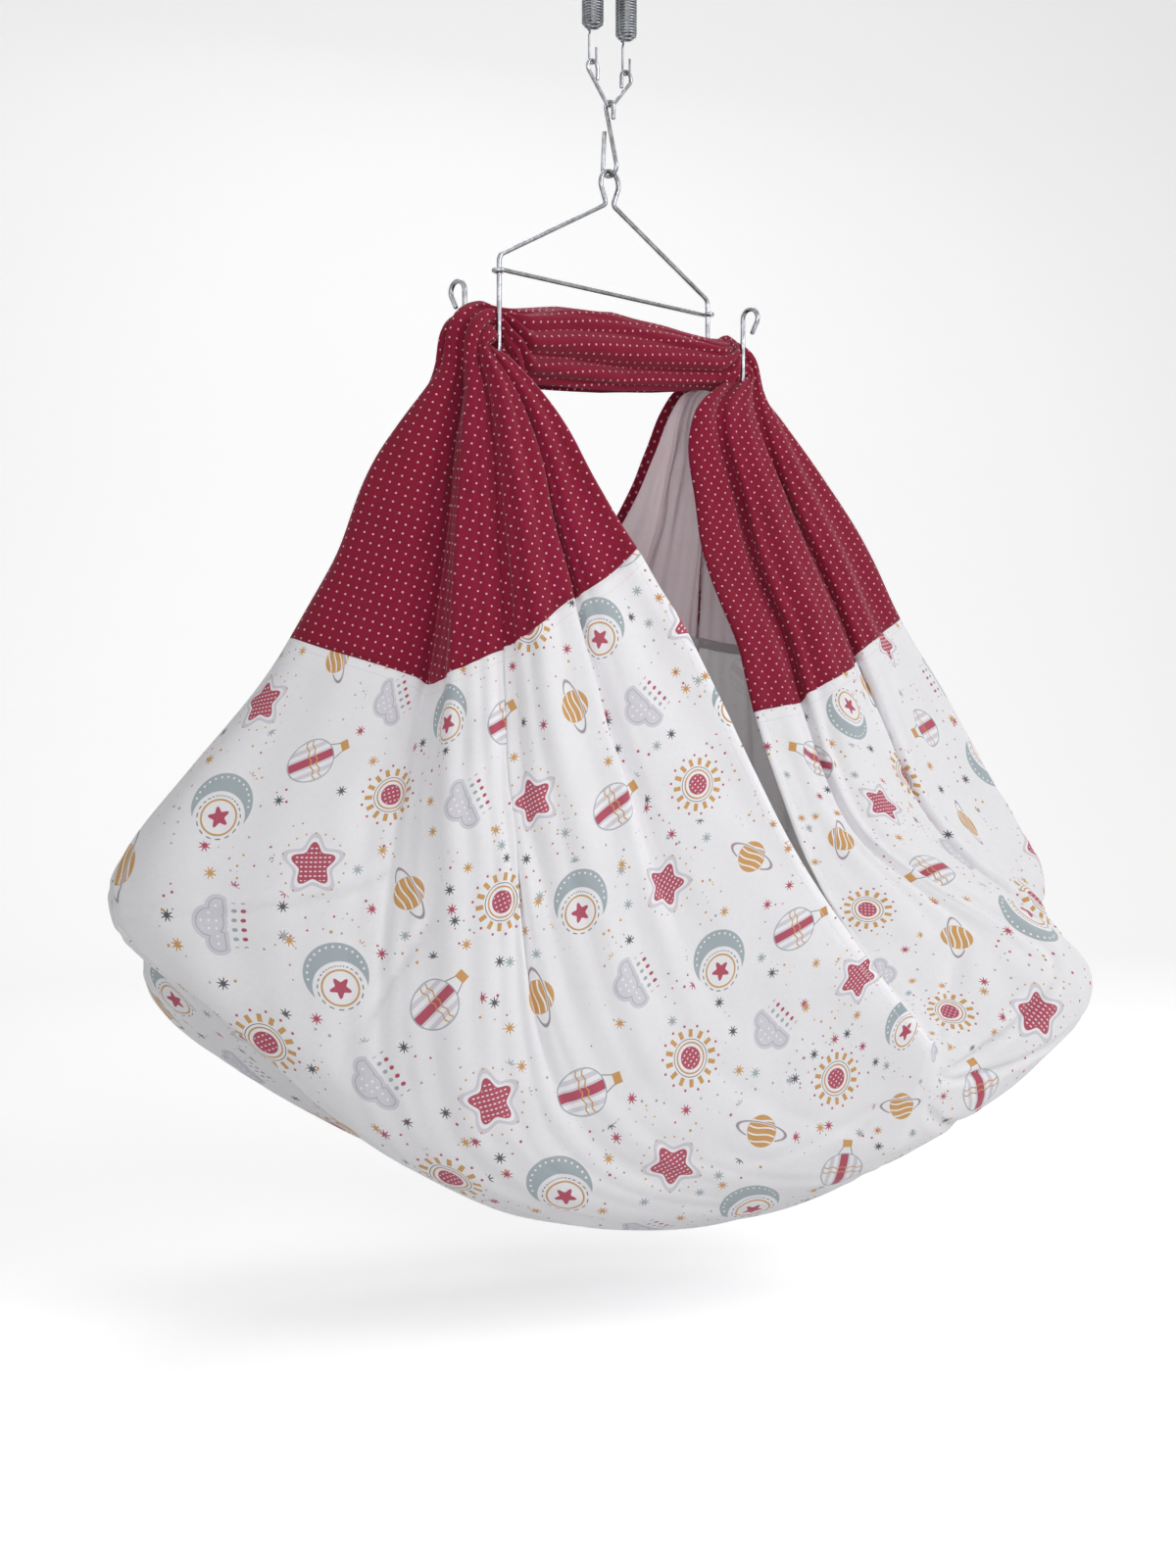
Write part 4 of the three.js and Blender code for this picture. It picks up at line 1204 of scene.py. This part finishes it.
def finer(coarse, rows, columns):
    """A coarse grid of places, filled in evenly."""
    known_rows, known_columns = range(coarse.shape[0]), range(coarse.shape[1])
    j, i = np.linspace(0, known_rows[-1], rows), np.linspace(0, known_columns[-1], columns)
    parts = []
    for k in (0, 1):
        by_row = np.array([np.interp(j, known_rows, coarse[:, c, k]) for c in known_columns])
        parts.append([np.interp(i, known_columns, by_row[:, r]) for r in range(rows)])
    return np.stack(parts, 2)


print("a grid of 3 by 4 corners has", len(corners_of(3, 4)), "triangles")

# %% [markdown]
# ## Two layers and a hem
#
# A visible sheet has two faces, a thickness, and hems turned over twice, so each cloth becomes two layers
# joined round the rim. The attributes `hem` and `seam` hold the distance to the nearest hem and seam, and
# tell the finishes where the stitches run. The white cloth reaches a finger's breadth under the burgundy
# one, which is its seam allowance.

# %% Build a closed sheet over a grid
CLOTH, HEM_FOLD, HEM_WIDTH = 0.0007, 0.0009, 0.012
TUCK_DEPTH, TUCK_SLOPE, HEM_STEP = 0.0011, 0.004, 0.0015
COARSE, COLUMNS = 4, 264
COARSE_ROUNDS, FINE_ROUNDS = 120, 8


def lengths_along(points, axis):
    steps = np.linalg.norm(np.diff(points, axis=axis), axis=2)
    start = np.zeros_like(np.take(steps, [0], axis=axis))
    return np.concatenate([start, np.cumsum(steps, axis=axis)], axis=axis)


def unwrapped(points):
    """Every corner's place on the flat cloth: across it first, then along it."""
    across, along = lengths_along(points, 1), lengths_along(points, 0)
    across -= across[:, across.shape[1] // 2][:, None]
    guess = np.stack([across, along], 2)
    rough = laid_flat(points[::COARSE, ::COARSE], guess[::COARSE, ::COARSE], COARSE_ROUNDS)
    return laid_flat(points, finer(rough, *points.shape[:2]), FINE_ROUNDS)


# How far each seam lies off its straight course, along the band: place across it, left seam, right seam
SEAM_COURSE = np.array(
    [
        (-1, 0.068, 0),
        (-0.9, 0.05, 0.004),
        (-0.75, 0.033, 0.012),
        (-0.6, 0.028, 0.025),
        (-0.4, 0.026, 0.036),
        (-0.2, 0.034, 0.04),
        (0, 0.016, 0.03),
        (0.2, 0, 0.02),
        (1, 0, 0),
    ]
)
SEAM_REACH, SEAM_MARGIN = 0.14, 0.08


def draped(places, columns):
    """The folded cloth in metres, with its rows bent beside the seams to lie along them."""
    fine = np.linspace(places[0] - SEAM_MARGIN, places[-1] + SEAM_MARGIN, 2 * len(places))
    grid = folded(fine, columns) * MM
    across = np.linspace(-1, 1, columns + 1)
    known, *seams = SEAM_COURSE.T
    left, right = (smoothed(np.interp(across, known, seam), columns // 30) for seam in seams)
    out = np.empty((len(places), columns + 1, 3))
    for i in range(columns + 1):
        bent = places.copy()
        for middle, shift in ((LEFT_SEAM_V, left[i]), (RIGHT_SEAM_V, right[i])):
            off = (places - middle + SPAN_V) % LOOP - SPAN_V
            bent = bent + shift * np.exp(-((off / SEAM_REACH) ** 2))
        for k in range(3):
            out[:, i, k] = np.interp(bent, fine, grid[:, i, k])
    return out


def sheet_faces(rows, columns):
    """Squares of the outer layer, of the inner one, and of the rim between them."""
    index = np.arange((rows + 1) * (columns + 1)).reshape(rows + 1, columns + 1)
    outer = np.stack([index[:-1, :-1], index[:-1, 1:], index[1:, 1:], index[1:, :-1]], axis=2).reshape(-1, 4)
    back = index.size
    rim = np.concatenate([index[0, :-1], index[:-1, -1], index[-1, :0:-1], index[:0:-1, 0]])
    after = np.roll(rim, -1)
    return outer, outer[:, ::-1] + back, np.stack([after, rim, rim + back, after + back], axis=1)


def cloth_sheet(name, places, outside, inside, replaced, finish_name, allowance=0.0):
    """allowance is how far the sheet runs on under its neighbour, past both seams."""
    points = draped(places, COLUMNS)
    rows = len(places) - 1
    across, along = lengths_along(points, 1), lengths_along(points, 0)
    hem = np.minimum(across, across[:, -1:] - across)
    seam = np.minimum(along, along[-1:] - along) - allowance
    if allowance:
        points = points - normals_of(points) * (TUCK_DEPTH * (1 - eased((seam + 0.001) / TUCK_SLOPE)))[:, :, None]
    half = CLOTH / 2 + HEM_FOLD / 2 * (1 - eased((hem - HEM_WIDTH) / HEM_STEP + 0.5))
    if allowance:
        half = np.minimum(half, CLOTH / 2 + HEM_FOLD / 2 * eased(seam / TUCK_SLOPE))
    offset = normals_of(points) * half[:, :, None]
    verts = np.concatenate([(points + offset).reshape(-1, 3), (points - offset).reshape(-1, 3)])
    outer, inner, rim = sheet_faces(rows, COLUMNS)
    faces = np.concatenate([outer, inner, rim])
    sheet = new_mesh(name, verts, faces.tolist(), "cradle", replaced, finish_name, outside, inside)
    mesh = sheet.data
    mesh.polygons.foreach_set("material_index", [0] * len(outer) + [1] * len(inner) + [0] * len(rim))
    flat = np.tile(unwrapped(points).reshape(-1, 2)[:, ::-1], (2, 1))
    mesh.uv_layers.new(name="flat_cloth").data.foreach_set("uv", flat[faces.ravel()].ravel())
    for label, values in (("hem", hem), ("seam", np.maximum(seam, 0))):
        store = mesh.attributes.new(label, "FLOAT", "POINT")
        store.data.foreach_set("value", np.tile(values.ravel(), 2))
    area = sum(p.area for p in mesh.polygons) / 2
    print(f"{name}: {len(faces)} faces, {area:.2f} square metres, {across[rows // 2, -1]:.2f} m across the middle")
    return sheet, area, points


# %% [markdown]
# ## Cotton
#
# All four cloth faces share a ground: warp and weft slubs, a slight cloudiness, and the row of stitches that
# holds each hem and seam. The burgundy carries white pin dots on a square lattice. Both cloths are printed
# on one side only, so their reverse is pale and shows a ghost of the print. The burgundy's reverse is paler
# than its own pink as well: painted light for light that comes through the thin cotton into the cradle.


# %% The shared ground of the cotton
STITCH_PITCH, HEM_STITCH, SEAM_STITCH = 3.2, HEM_WIDTH * 1000 - 1.5, 2.2
SOFT_COTTON = {
    "Sheen_Weight": 0.1,
    "Specular_IOR_Level": 0.25,
    "Subsurface_Weight": 0.6,
    "Subsurface_Scale": 0.004,
    "Subsurface_Radius": (1.0, 1.0, 1.0),
}


class Cotton(Finish):
    """A woven finish on the flat cloth, measured in millimetres."""

    def __init__(self, name):
        super().__init__(name)
        flat = self.add("ShaderNodeUVMap", {"uv_map": "flat_cloth"}, {})
        self.x, self.y = flat.channel("X") * 1000, flat.channel("Y") * 1000
        self.hem = self.add("ShaderNodeAttribute", {"attribute_name": "hem"}, {}, "Fac") * 1000
        self.seam = self.add("ShaderNodeAttribute", {"attribute_name": "seam"}, {}, "Fac") * 1000
        self.cloud = self.noise(self.vector(self.x, self.y), 0.02, 3.0)
        warp = self.noise(self.vector(self.x * 1.6, self.y * 0.12), 1.0, 2.0, 0.6)
        weft = self.noise(self.vector(self.x * 0.12, self.y * 1.6), 1.0, 2.0, 0.6)
        self.weave = (warp + weft) / 2

    def length(self, x, y):
        return (x * x + y * y) ** 0.5

    def inside(self, distance, limit, soft=0.5):
        return distance.ramp(limit + soft / 2, limit - soft / 2)

    def band(self, distance, middle, width, soft=0.5):
        return self.inside(abs(distance - middle), width / 2, soft)

    def lattice(self, pitch, x=None, y=None):
        """Which square of a lattice the cloth is in, and the place inside it from the square's centre."""
        x, y = (self.x if x is None else x) / pitch, (self.y if y is None else y) / pitch
        column, row = x.floor(), y.floor()
        return column, row, (x - column - 0.5) * pitch, (y - row - 0.5) * pitch

    def chance(self, column, row, salt):
        """A random number from 0 to 1 for each square of a lattice."""
        cell = self.vector(column + salt, row - salt)
        return self.add("ShaderNodeTexWhiteNoise", {"noise_dimensions": "2D"}, {"Vector": cell}, "Value")

    def dashes(self, along):
        return self.inside(abs((along / STITCH_PITCH) % 1 - 0.5), 0.33, 0.08)

    def stitches(self):
        """1 on the thread of the two rows of stitches, along the hems and beside the seams."""
        beside_hem = self.band(self.hem, HEM_STITCH, 0.7) * self.dashes(self.x)
        return beside_hem | (self.band(self.seam, SEAM_STITCH, 0.6) * self.dashes(self.y))

    def woven(self, colour, thread):
        stitches = self.stitches()
        worn = self.blend(1.0, colour, (0.86, 0.86, 0.87, 1), "MULTIPLY")
        slubs = self.blend(self.weave.ramp(0.35, 0.7) * 0.5, colour, worn)
        sewn = self.blend(stitches * 0.85, slubs, thread)
        pulled = self.band(self.hem, HEM_STITCH, 2.4, 1.6) | self.band(self.seam, SEAM_STITCH, 2.4, 1.6)
        pucker = pulled * (0.6 + 0.4 * ((self.x + self.y) / 1.9).sine())
        normal = self.bump(self.weave * 0.25 + stitches * 0.5 - pucker * 0.7, 0.0005)
        roughness = 0.9 - self.weave * 0.12 + self.cloud * 0.05
        return self.surface(Base_Color=sewn, Roughness=roughness, Normal=normal, **SOFT_COTTON)


print("hems are", HEM_WIDTH * 1000, "mm wide")

# %% Burgundy with pin dots, and its reverse
BURGUNDY, PIN_WHITE = shade(128, 8, 42), shade(238, 188, 202)
PIN_PITCH = 8.7


def dotted_front():
    cotton = Cotton("pin_dot_cotton")
    _, _, x, y = cotton.lattice(PIN_PITCH)
    wobble = cotton.noise(cotton.vector(cotton.x, cotton.y), 0.9, 1.0) * 0.5
    dots = cotton.inside(cotton.length(x, y) + wobble, 1.15, 0.5)
    tone = cotton.blend(cotton.cloud.ramp(0.3, 0.8) * 0.35, BURGUNDY, shade(112, 5, 34))
    faded = cotton.blend(cotton.inside(cotton.hem, 1.2, 1.0) * 0.3, tone, shade(190, 80, 105))
    return cotton.woven(cotton.blend(dots * 0.92, faded, PIN_WHITE), BURGUNDY)


def dotted_reverse():
    cotton = Cotton("pin_dot_reverse")
    _, _, x, y = cotton.lattice(PIN_PITCH)
    dots = cotton.inside(cotton.length(x, y), 1.5, 0.9)
    # The reverse's pink is partly its own colour and partly painted light: paler than the cloth is, for light coming
    # through the thin cotton into the cradle.
    tone = cotton.blend(cotton.cloud.ramp(0.3, 0.8) * 0.6, shade(236, 214, 220), shade(224, 199, 205))
    hemmed = cotton.blend(cotton.inside(cotton.hem, HEM_WIDTH * 1000 - 1.0), tone, BURGUNDY)
    return cotton.woven(cotton.blend(dots * 0.35, hemmed, shade(232, 220, 224)), BURGUNDY)


pin_dots, pin_dots_reverse = dotted_front(), dotted_reverse()
print("two sides of the burgundy cloth:", pin_dots.name, pin_dots_reverse.name)

# %% [markdown]
# ## A print to fall asleep under
#
# The white cloth has a scattered nursery print in ochre, slate, lilac, burgundy and charcoal: moons, suns,
# clouds, balloons, ringed planets and stars, each drawn with circles, bands and waves. The motifs stand on
# a staggered lattice, each a little turned and pushed off its place, and small stars and specks fill the
# room between them. They stand upright from the front hem towards the back one.

# %% The printed cotton
OCHRE, SLATE, LILAC = shade(196, 140, 58), shade(150, 163, 168), shade(206, 203, 213)
WINE, CHARCOAL, PAPER = shade(166, 26, 66), shade(50, 50, 56), shade(240, 239, 243)
MOTIF_PITCH, MOTIF_ROW = 96, 80


class Print(Cotton):
    """The white cotton with its motifs."""

    def turned(self, x, y, angle):
        return x * angle.cosine() + y * angle.sine(), y * angle.cosine() - x * angle.sine()

    def wheel(self, angle, count):
        """Angle folded into count equal sectors, measured from each one's middle, in radians."""
        sector = 2 * math.pi / count
        return (angle / sector + 100.5) % 1 * sector - sector / 2

    def beads(self, distance, angle, radius, count, size):
        return self.inside(self.length(distance - radius, self.wheel(angle, count) * radius), size)

    def star(self, distance, angle, points, radius, depth):
        return self.inside(distance * (1 + depth * (angle * points).cosine()), radius)

    def moon(self, paint, x, y, distance, angle):
        hollow = self.length(x - 11, y - 4)
        paint(self.inside(distance, 27) - self.inside(distance, 27) * self.inside(hollow, 22.5), SLATE)
        paint(self.beads(distance, angle, 23.5, 26, 1.0) * (1 - self.inside(hollow, 25)), PAPER)
        paint(self.band(hollow, 18.5, 0.9) * self.inside(abs(self.wheel(angle, 24)), 0.07, 0.03), CHARCOAL)
        paint(self.band(hollow, 15.0, 1.6), OCHRE)
        star_x, star_y = x - 11, y - 4
        paint(self.star(hollow, star_y.angle_to(star_x), 5, 6.5, 0.3), WINE)

    def sun(self, paint, x, y, distance, angle):
        paint(self.inside(distance, 10), WINE)
        _, _, fleck_x, fleck_y = self.lattice(4.2, x, y)
        paint(self.inside(distance, 9) * self.inside(self.length(fleck_x * 1.6, fleck_y), 1.0), PAPER)
        paint(self.band(distance, 13.5, 1.5), OCHRE)
        paint(self.band(distance, 16.6, 0.7), CHARCOAL)
        paint(self.band(distance, 22.0, 7.0) * self.inside(abs(self.wheel(angle, 14)) * distance, 2.0), OCHRE)
        paint(self.beads(distance, angle + 0.2244, 28.5, 14, 1.2), WINE)

    def cloud_shape(self, paint, x, y, distance, angle):
        left, middle, right = self.length(x + 14, y - 1), self.length(x + 2, y - 8), self.length(x - 13, y - 2)
        body = (left - 10.5) & (middle - 14) & (right - 11) | (-6 - y)
        paint(self.inside(body, 0), LILAC)
        paint(self.band(body, -3.2, 0.8), SLATE)
        _, _, dot_x, dot_y = self.lattice(6.0, x, y)
        paint(self.inside(body, -6) * self.inside(self.length(dot_x, dot_y), 1.1), PAPER)
        _, row, drop_x, drop_y = self.lattice(7.5, x, y)
        below = self.inside(abs(x), 18) * self.inside(abs(y + 16), 7)
        drops = below * self.inside(self.length(drop_x * 1.5, drop_y), 2.3)
        paint(drops, SLATE)
        paint(drops * (row % 2 > 0.5), WINE)

    def balloon(self, paint, x, y, distance, angle):
        high = y - 7
        ball = self.length(x, high & (high * 0.8))
        silk = self.inside(ball, 20)
        paint(silk, PAPER)
        paint(silk * ((x / 8.0 + 100.25) % 1 > 0.5), LILAC)
        paint(silk * self.inside(abs(x), 4.0), WINE)
        zigzag = high - 2.2 * ((x / 5.0).ping_pong(1.0) - 0.5)
        for middle in (3.0, -3.0):
            paint(self.inside(ball, 19) * self.band(zigzag, middle, 1.3), OCHRE)
        paint(self.band(ball, 20, 1.1), SLATE)
        paint(self.band(abs(x) + (y + 22) * -0.35, 4.0, 0.8) * self.inside(abs(y + 17), 5), CHARCOAL)
        paint(self.inside(abs(x) | (abs(y + 25) * 1.3), 5.0), OCHRE)

    def planet(self, paint, x, y, distance, angle):
        paint(self.inside(distance, 15), OCHRE)
        paint(self.inside(distance, 14.5) * self.band((y + (x / 5).sine() * 1.2) % 6.5, 3.2, 1.5), PAPER)
        ring = self.length(x * 0.98, y * 3.1)
        in_front = 1 - self.inside(distance, 16.2) * (y > 0)
        for width, ink in ((6.4, PAPER), (3.6, SLATE), (0.8, WINE)):
            paint(self.band(ring, 25.0, width) * in_front, ink)

    def great_star(self, paint, x, y, distance, angle):
        for radius, ink in ((22.0, LILAC), (18.4, PAPER), (15.4, WINE)):
            paint(self.star(distance, angle, 5, radius, 0.22), ink)
        _, _, dash_x, dash_y = self.lattice(4.0, x, y)
        paint(self.star(distance, angle, 5, 13.6, 0.22) * self.inside(self.length(dash_x * 2.0, dash_y), 1.2), PAPER)
        paint(self.beads(distance, angle, 27.5, 20, 0.9), OCHRE)

    def motifs(self, colour):
        """Paints the motifs onto a colour, and gives the clear room round each as a mask."""
        row = (self.y / MOTIF_ROW).floor()
        shifted = self.x / MOTIF_PITCH + (row % 2) * 0.5
        column = shifted.floor()
        push_x = (self.chance(column, row, 3.1) - 0.5) * 10
        push_y = (self.chance(column, row, 7.7) - 0.5) * 10
        lean = (self.chance(column, row, 5.3) - 0.5) * 0.8
        x = (shifted - column - 0.5) * MOTIF_PITCH - push_x
        y = (self.y / MOTIF_ROW - row - 0.5) * MOTIF_ROW - push_y
        x, y = self.turned(x, y, lean)
        distance, angle = self.length(x, y), y.angle_to(x)
        kind = (column + row * 2) % 6
        drawings = (self.moon, self.cloud_shape, self.sun, self.planet, self.balloon, self.great_star)
        for number, drawing in enumerate(drawings):
            chosen = self.inside(abs(kind - number), 0.5, 0.1)
            layers = []
            drawing(lambda mask, ink: layers.append((mask, ink)), x, y, distance, angle)
            for mask, ink in layers:
                colour = self.blend(mask * chosen, colour, ink)
        return colour, 1 - self.inside(distance, 34, 2)

    def scattered(self, pitch, salt, push):
        """The place from each square's pushed middle, and a random number for the square."""
        column, row, x, y = self.lattice(pitch)
        x = x - (self.chance(column, row, salt) - 0.5) * pitch * push
        y = y - (self.chance(column, row, salt + 1) - 0.5) * pitch * push
        return x, y, self.chance(column, row, salt + 2)

    def fillers(self, colour, room):
        for pitch, salt, inks in ((34, 1.7, (WINE, SLATE)), (29, 9.4, (OCHRE, CHARCOAL))):
            x, y, luck = self.scattered(pitch, salt, 0.5)
            spark = self.star(self.length(x, y), y.angle_to(x), 8, 2.9, 0.45) * room
            colour = self.blend(spark * (luck > 0.80), colour, inks[0])
            colour = self.blend(spark * (luck < 0.16), colour, inks[1])
        for pitch, salt, ink in ((11, 2.2, OCHRE), (12.5, 6.1, WINE), (13.5, 4.4, SLATE)):
            x, y, luck = self.scattered(pitch, salt, 0.6)
            patch = self.noise(self.vector(self.x + salt * 90, self.y), 0.022, 1.0)
            speck = self.inside(self.length(x, y) - (0.5 + luck * 0.9), 0, 0.4) * (patch > 0.6) * room
            colour = self.blend(speck, colour, ink)
        return colour

    def printed(self, strength, ground):
        colour, room = self.motifs(ground)
        colour = self.fillers(colour, room)
        return self.blend(strength, ground, colour)


def printed_front():
    cotton = Print("nursery_print_cotton")
    ground = cotton.blend(cotton.cloud.ramp(0.3, 0.8) * 0.5, PAPER, shade(234, 233, 238))
    inked = cotton.printed(0.92, ground)
    # A faint darker band 13 mm from the seam: painted shade of the seam allowance seen through the white cloth.
    allowance = cotton.band(cotton.seam, 13.0, 0.9, 0.8) * 0.3
    return cotton.woven(cotton.blend(allowance, inked, shade(205, 200, 206)), shade(236, 236, 240))


def printed_reverse():
    cotton = Print("nursery_print_reverse")
    ground = cotton.blend(cotton.cloud.ramp(0.3, 0.8) * 0.5, shade(240, 236, 238), shade(232, 228, 231))
    return cotton.woven(cotton.printed(0.22, ground), shade(236, 236, 240))


night_print, night_print_reverse = printed_front(), printed_reverse()
for material in (night_print, night_print_reverse):
    print(material.name, "has", len(material.node_tree.nodes), "nodes")


# %% Hang the two cloths
ALLOWANCE, ALLOWANCE_V = 0.009, 0.010


def runs(*stops):
    """Places along the band, even between each pair of stops."""
    parts = [np.linspace(a, b, count, endpoint=False) for (a, count), (b, _) in zip(stops, stops[1:])]
    return np.concatenate([*parts, [stops[-1][0]]])


def whole(places):
    """The same run of places with a count that the coarse grid divides."""
    count = round((len(places) - 1) / COARSE) * COARSE
    return np.interp(np.linspace(0, len(places) - 1, count + 1), range(len(places)), places)


lower_places = np.linspace(LEFT_SEAM_V - ALLOWANCE_V, RIGHT_SEAM_V + ALLOWANCE_V, 241)
far_seam = LOOP + LEFT_SEAM_V
upper_places = whole(runs((RIGHT_SEAM_V, 44), (0.90, 50), (1.08, 36), (1.42, 50), (1.60, 38), (far_seam, 0)))
lower_cloth, lower_area, lower_points = cloth_sheet(
    "printed_cloth_sling", lower_places, night_print, night_print_reverse, ["lower_cloth"], "printed_cloth", ALLOWANCE
)
upper_cloth, upper_area, _ = cloth_sheet(
    "dotted_cloth_sling", upper_places, pin_dots, pin_dots_reverse, ["upper_cloth"], "dotted_cloth"
)

# %% [markdown]
# ## The mattress
#
# In the picture the mattress only shows through the cloth, as a firm corner at each end. It is a thin foam
# pad in a quilted cover, and it lies where it would settle: a ray is dropped onto the cloth under each of
# its points, and the pad takes the smoothest shape that stays above all of them.

# %% Find the floor under the mattress
PAD_LENGTH, PAD_WIDTH, PAD_THICKNESS, PAD_GAP = 0.80, 0.32, 0.035, 0.0018
PAD_COLUMNS, PAD_ROWS, SETTLING_ROUNDS = 96, 40, 40
FLOOR_SLOPE, RAY_Z, NEAR_FLOOR_Z = 0.35, -0.9, -1.2
DOWN = Vector((0, 0, -1))

floor_faces, _, _ = sheet_faces(lower_points.shape[0] - 1, COLUMNS)
floor_corners = lower_points.reshape(-1, 3)[floor_faces]
facing = np.cross(floor_corners[:, 2] - floor_corners[:, 0], floor_corners[:, 3] - floor_corners[:, 1])
floor_faces = floor_faces[facing[:, 2] < -FLOOR_SLOPE * np.linalg.norm(facing, axis=1)]
floor_tree = BVHTree.FromPolygons([Vector(p) for p in lower_points.reshape(-1, 3)], floor_faces.tolist())


def rounded_plan():
    """Places on the pad from -1 to 1 both ways, with the corners of the plan drawn in."""
    along, across = (np.sin(np.linspace(-1, 1, count + 1) * math.pi / 2) for count in (PAD_COLUMNS, PAD_ROWS))
    p, q = np.meshgrid(along, across, indexing="ij")
    pull = (np.abs(p) ** 6 + np.abs(q) ** 6) ** (1 / 6)
    draw = np.maximum(np.abs(p), np.abs(q)) / np.maximum(pull, 1e-6)
    return p, q, p * draw * PAD_LENGTH / 2, q * draw * PAD_WIDTH / 2


def floor_heights(x, y):
    heights = np.zeros(x.shape)
    for j, i in np.ndindex(x.shape):
        hit = floor_tree.ray_cast(Vector((x[j, i], y[j, i], RAY_Z)), DOWN)[0]
        heights[j, i] = (hit or floor_tree.find_nearest(Vector((x[j, i], y[j, i], NEAR_FLOOR_Z)))[0]).z
    return heights


def neighbour_mean(grid):
    wide = np.pad(grid, 1, mode="edge")
    return (wide[:-2, 1:-1] + wide[2:, 1:-1] + wide[1:-1, :-2] + wide[1:-1, 2:] + grid) / 5


pad_p, pad_q, pad_x, pad_y = rounded_plan()
floor_under = floor_heights(pad_x, pad_y) + CLOTH / 2 + PAD_GAP
pad_rest = floor_under.copy()
for _ in range(SETTLING_ROUNDS):
    pad_rest = np.maximum(neighbour_mean(pad_rest), floor_under)
print(f"the pad's underside runs from {pad_rest.min():.3f} to {pad_rest.max():.3f} m")


# %% Sew the mattress
QUILT_PITCH, QUILT_LINE, TOP_DIP, BOTTOM_DIP, PIPING = 0.085, 0.0045, 0.0028, 0.0012, 0.0045


def pad_cover():
    cover = Finish("quilted_cover")
    place = cover.object_place()
    warp = cover.noise(place, 1500.0, 2.0, 0.6)
    cloud = cover.noise(place, 9.0, 3.0)
    quilt = cover.add("ShaderNodeAttribute", {"attribute_name": "quilt"}, {}, "Fac")
    tone = cover.blend(cloud.ramp(0.3, 0.75) * 0.5, shade(240, 238, 232), shade(230, 227, 220))
    sewn = cover.blend(quilt * 0.5, tone, shade(204, 200, 196))
    relief = cover.bump(warp, 0.0002, 0.6)
    return cover.surface(Base_Color=sewn, Roughness=0.9 - warp * 0.1, Normal=relief, **SOFT_COTTON)


def make_pad(cover):
    swell = np.sqrt(np.maximum(0, (1 - np.abs(pad_p) ** 8) * (1 - np.abs(pad_q) ** 6)))
    half = PAD_THICKNESS / 2 * swell
    middle = pad_rest + PAD_THICKNESS / 2
    steps = [(pad_x + side * pad_y) / QUILT_PITCH % 1 - 0.5 for side in (1, -1)]
    lines = [np.abs(step) * QUILT_PITCH / math.sqrt(2) for step in steps]
    quilt = np.exp(-((np.minimum(*lines) / QUILT_LINE) ** 2)) * np.clip(swell * 1.4 - 0.4, 0, 1)
    top = np.stack([pad_x, pad_y, middle + half - TOP_DIP * quilt], 2)
    bottom = np.stack([pad_x, pad_y, middle - half + BOTTOM_DIP * quilt], 2)
    verts = np.concatenate([top.reshape(-1, 3), bottom.reshape(-1, 3)])
    index = np.arange(pad_x.size).reshape(pad_x.shape)
    up = np.stack([index[:-1, :-1], index[1:, :-1], index[1:, 1:], index[:-1, 1:]], 2).reshape(-1, 4)
    down = up[:, ::-1] + pad_x.size
    rim = np.concatenate([index[:-1, 0], index[-1, :-1], index[:0:-1, -1], index[0, :0:-1]])
    after = np.roll(rim, -1)
    edge = np.stack([after, rim, rim + pad_x.size, after + pad_x.size], 1)
    faces = np.concatenate([up, down, edge]).tolist()
    pad = new_mesh("quilted_mattress", verts, faces, None, ["mattress"], "mattress_cover", cover)
    store = pad.data.attributes.new("quilt", "FLOAT", "POINT")
    store.data.foreach_set("value", np.tile(quilt.ravel(), 2))
    welded = pad.modifiers.new("weld_rim", "WELD")
    welded.merge_threshold = 0.0001
    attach(pad, "cradle")
    return pad, verts[rim]


cover = pad_cover()
mattress, rim_line = make_pad(cover)
closed_rim = np.vstack([rim_line[-2:], rim_line, rim_line[:3]])
pipe_verts, pipe_faces = wire_shell(closed_rim, PIPING, PIPING_SIDES)
piping = new_mesh("mattress_piping", pipe_verts, pipe_faces, "cradle", None, "mattress_cover", cover)
piping.data.attributes.new("quilt", "FLOAT", "POINT")
print("mattress", PAD_LENGTH, "by", PAD_WIDTH, "m, piped all round")

# %% [markdown]
# ## The sizes of the pieces
#
# Both cloths are as wide at the seams as the sling is on the flat. The burgundy one is cut narrower towards
# the middle of its span, where only a few folds go from hook to hook.

# %% Print the sizes and finish
dressed_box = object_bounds()
for name, corners in (("solids", solids_box), ("dressed", dressed_box)):
    print(name, [[round(x, 3) for x in corner] for corner in corners])
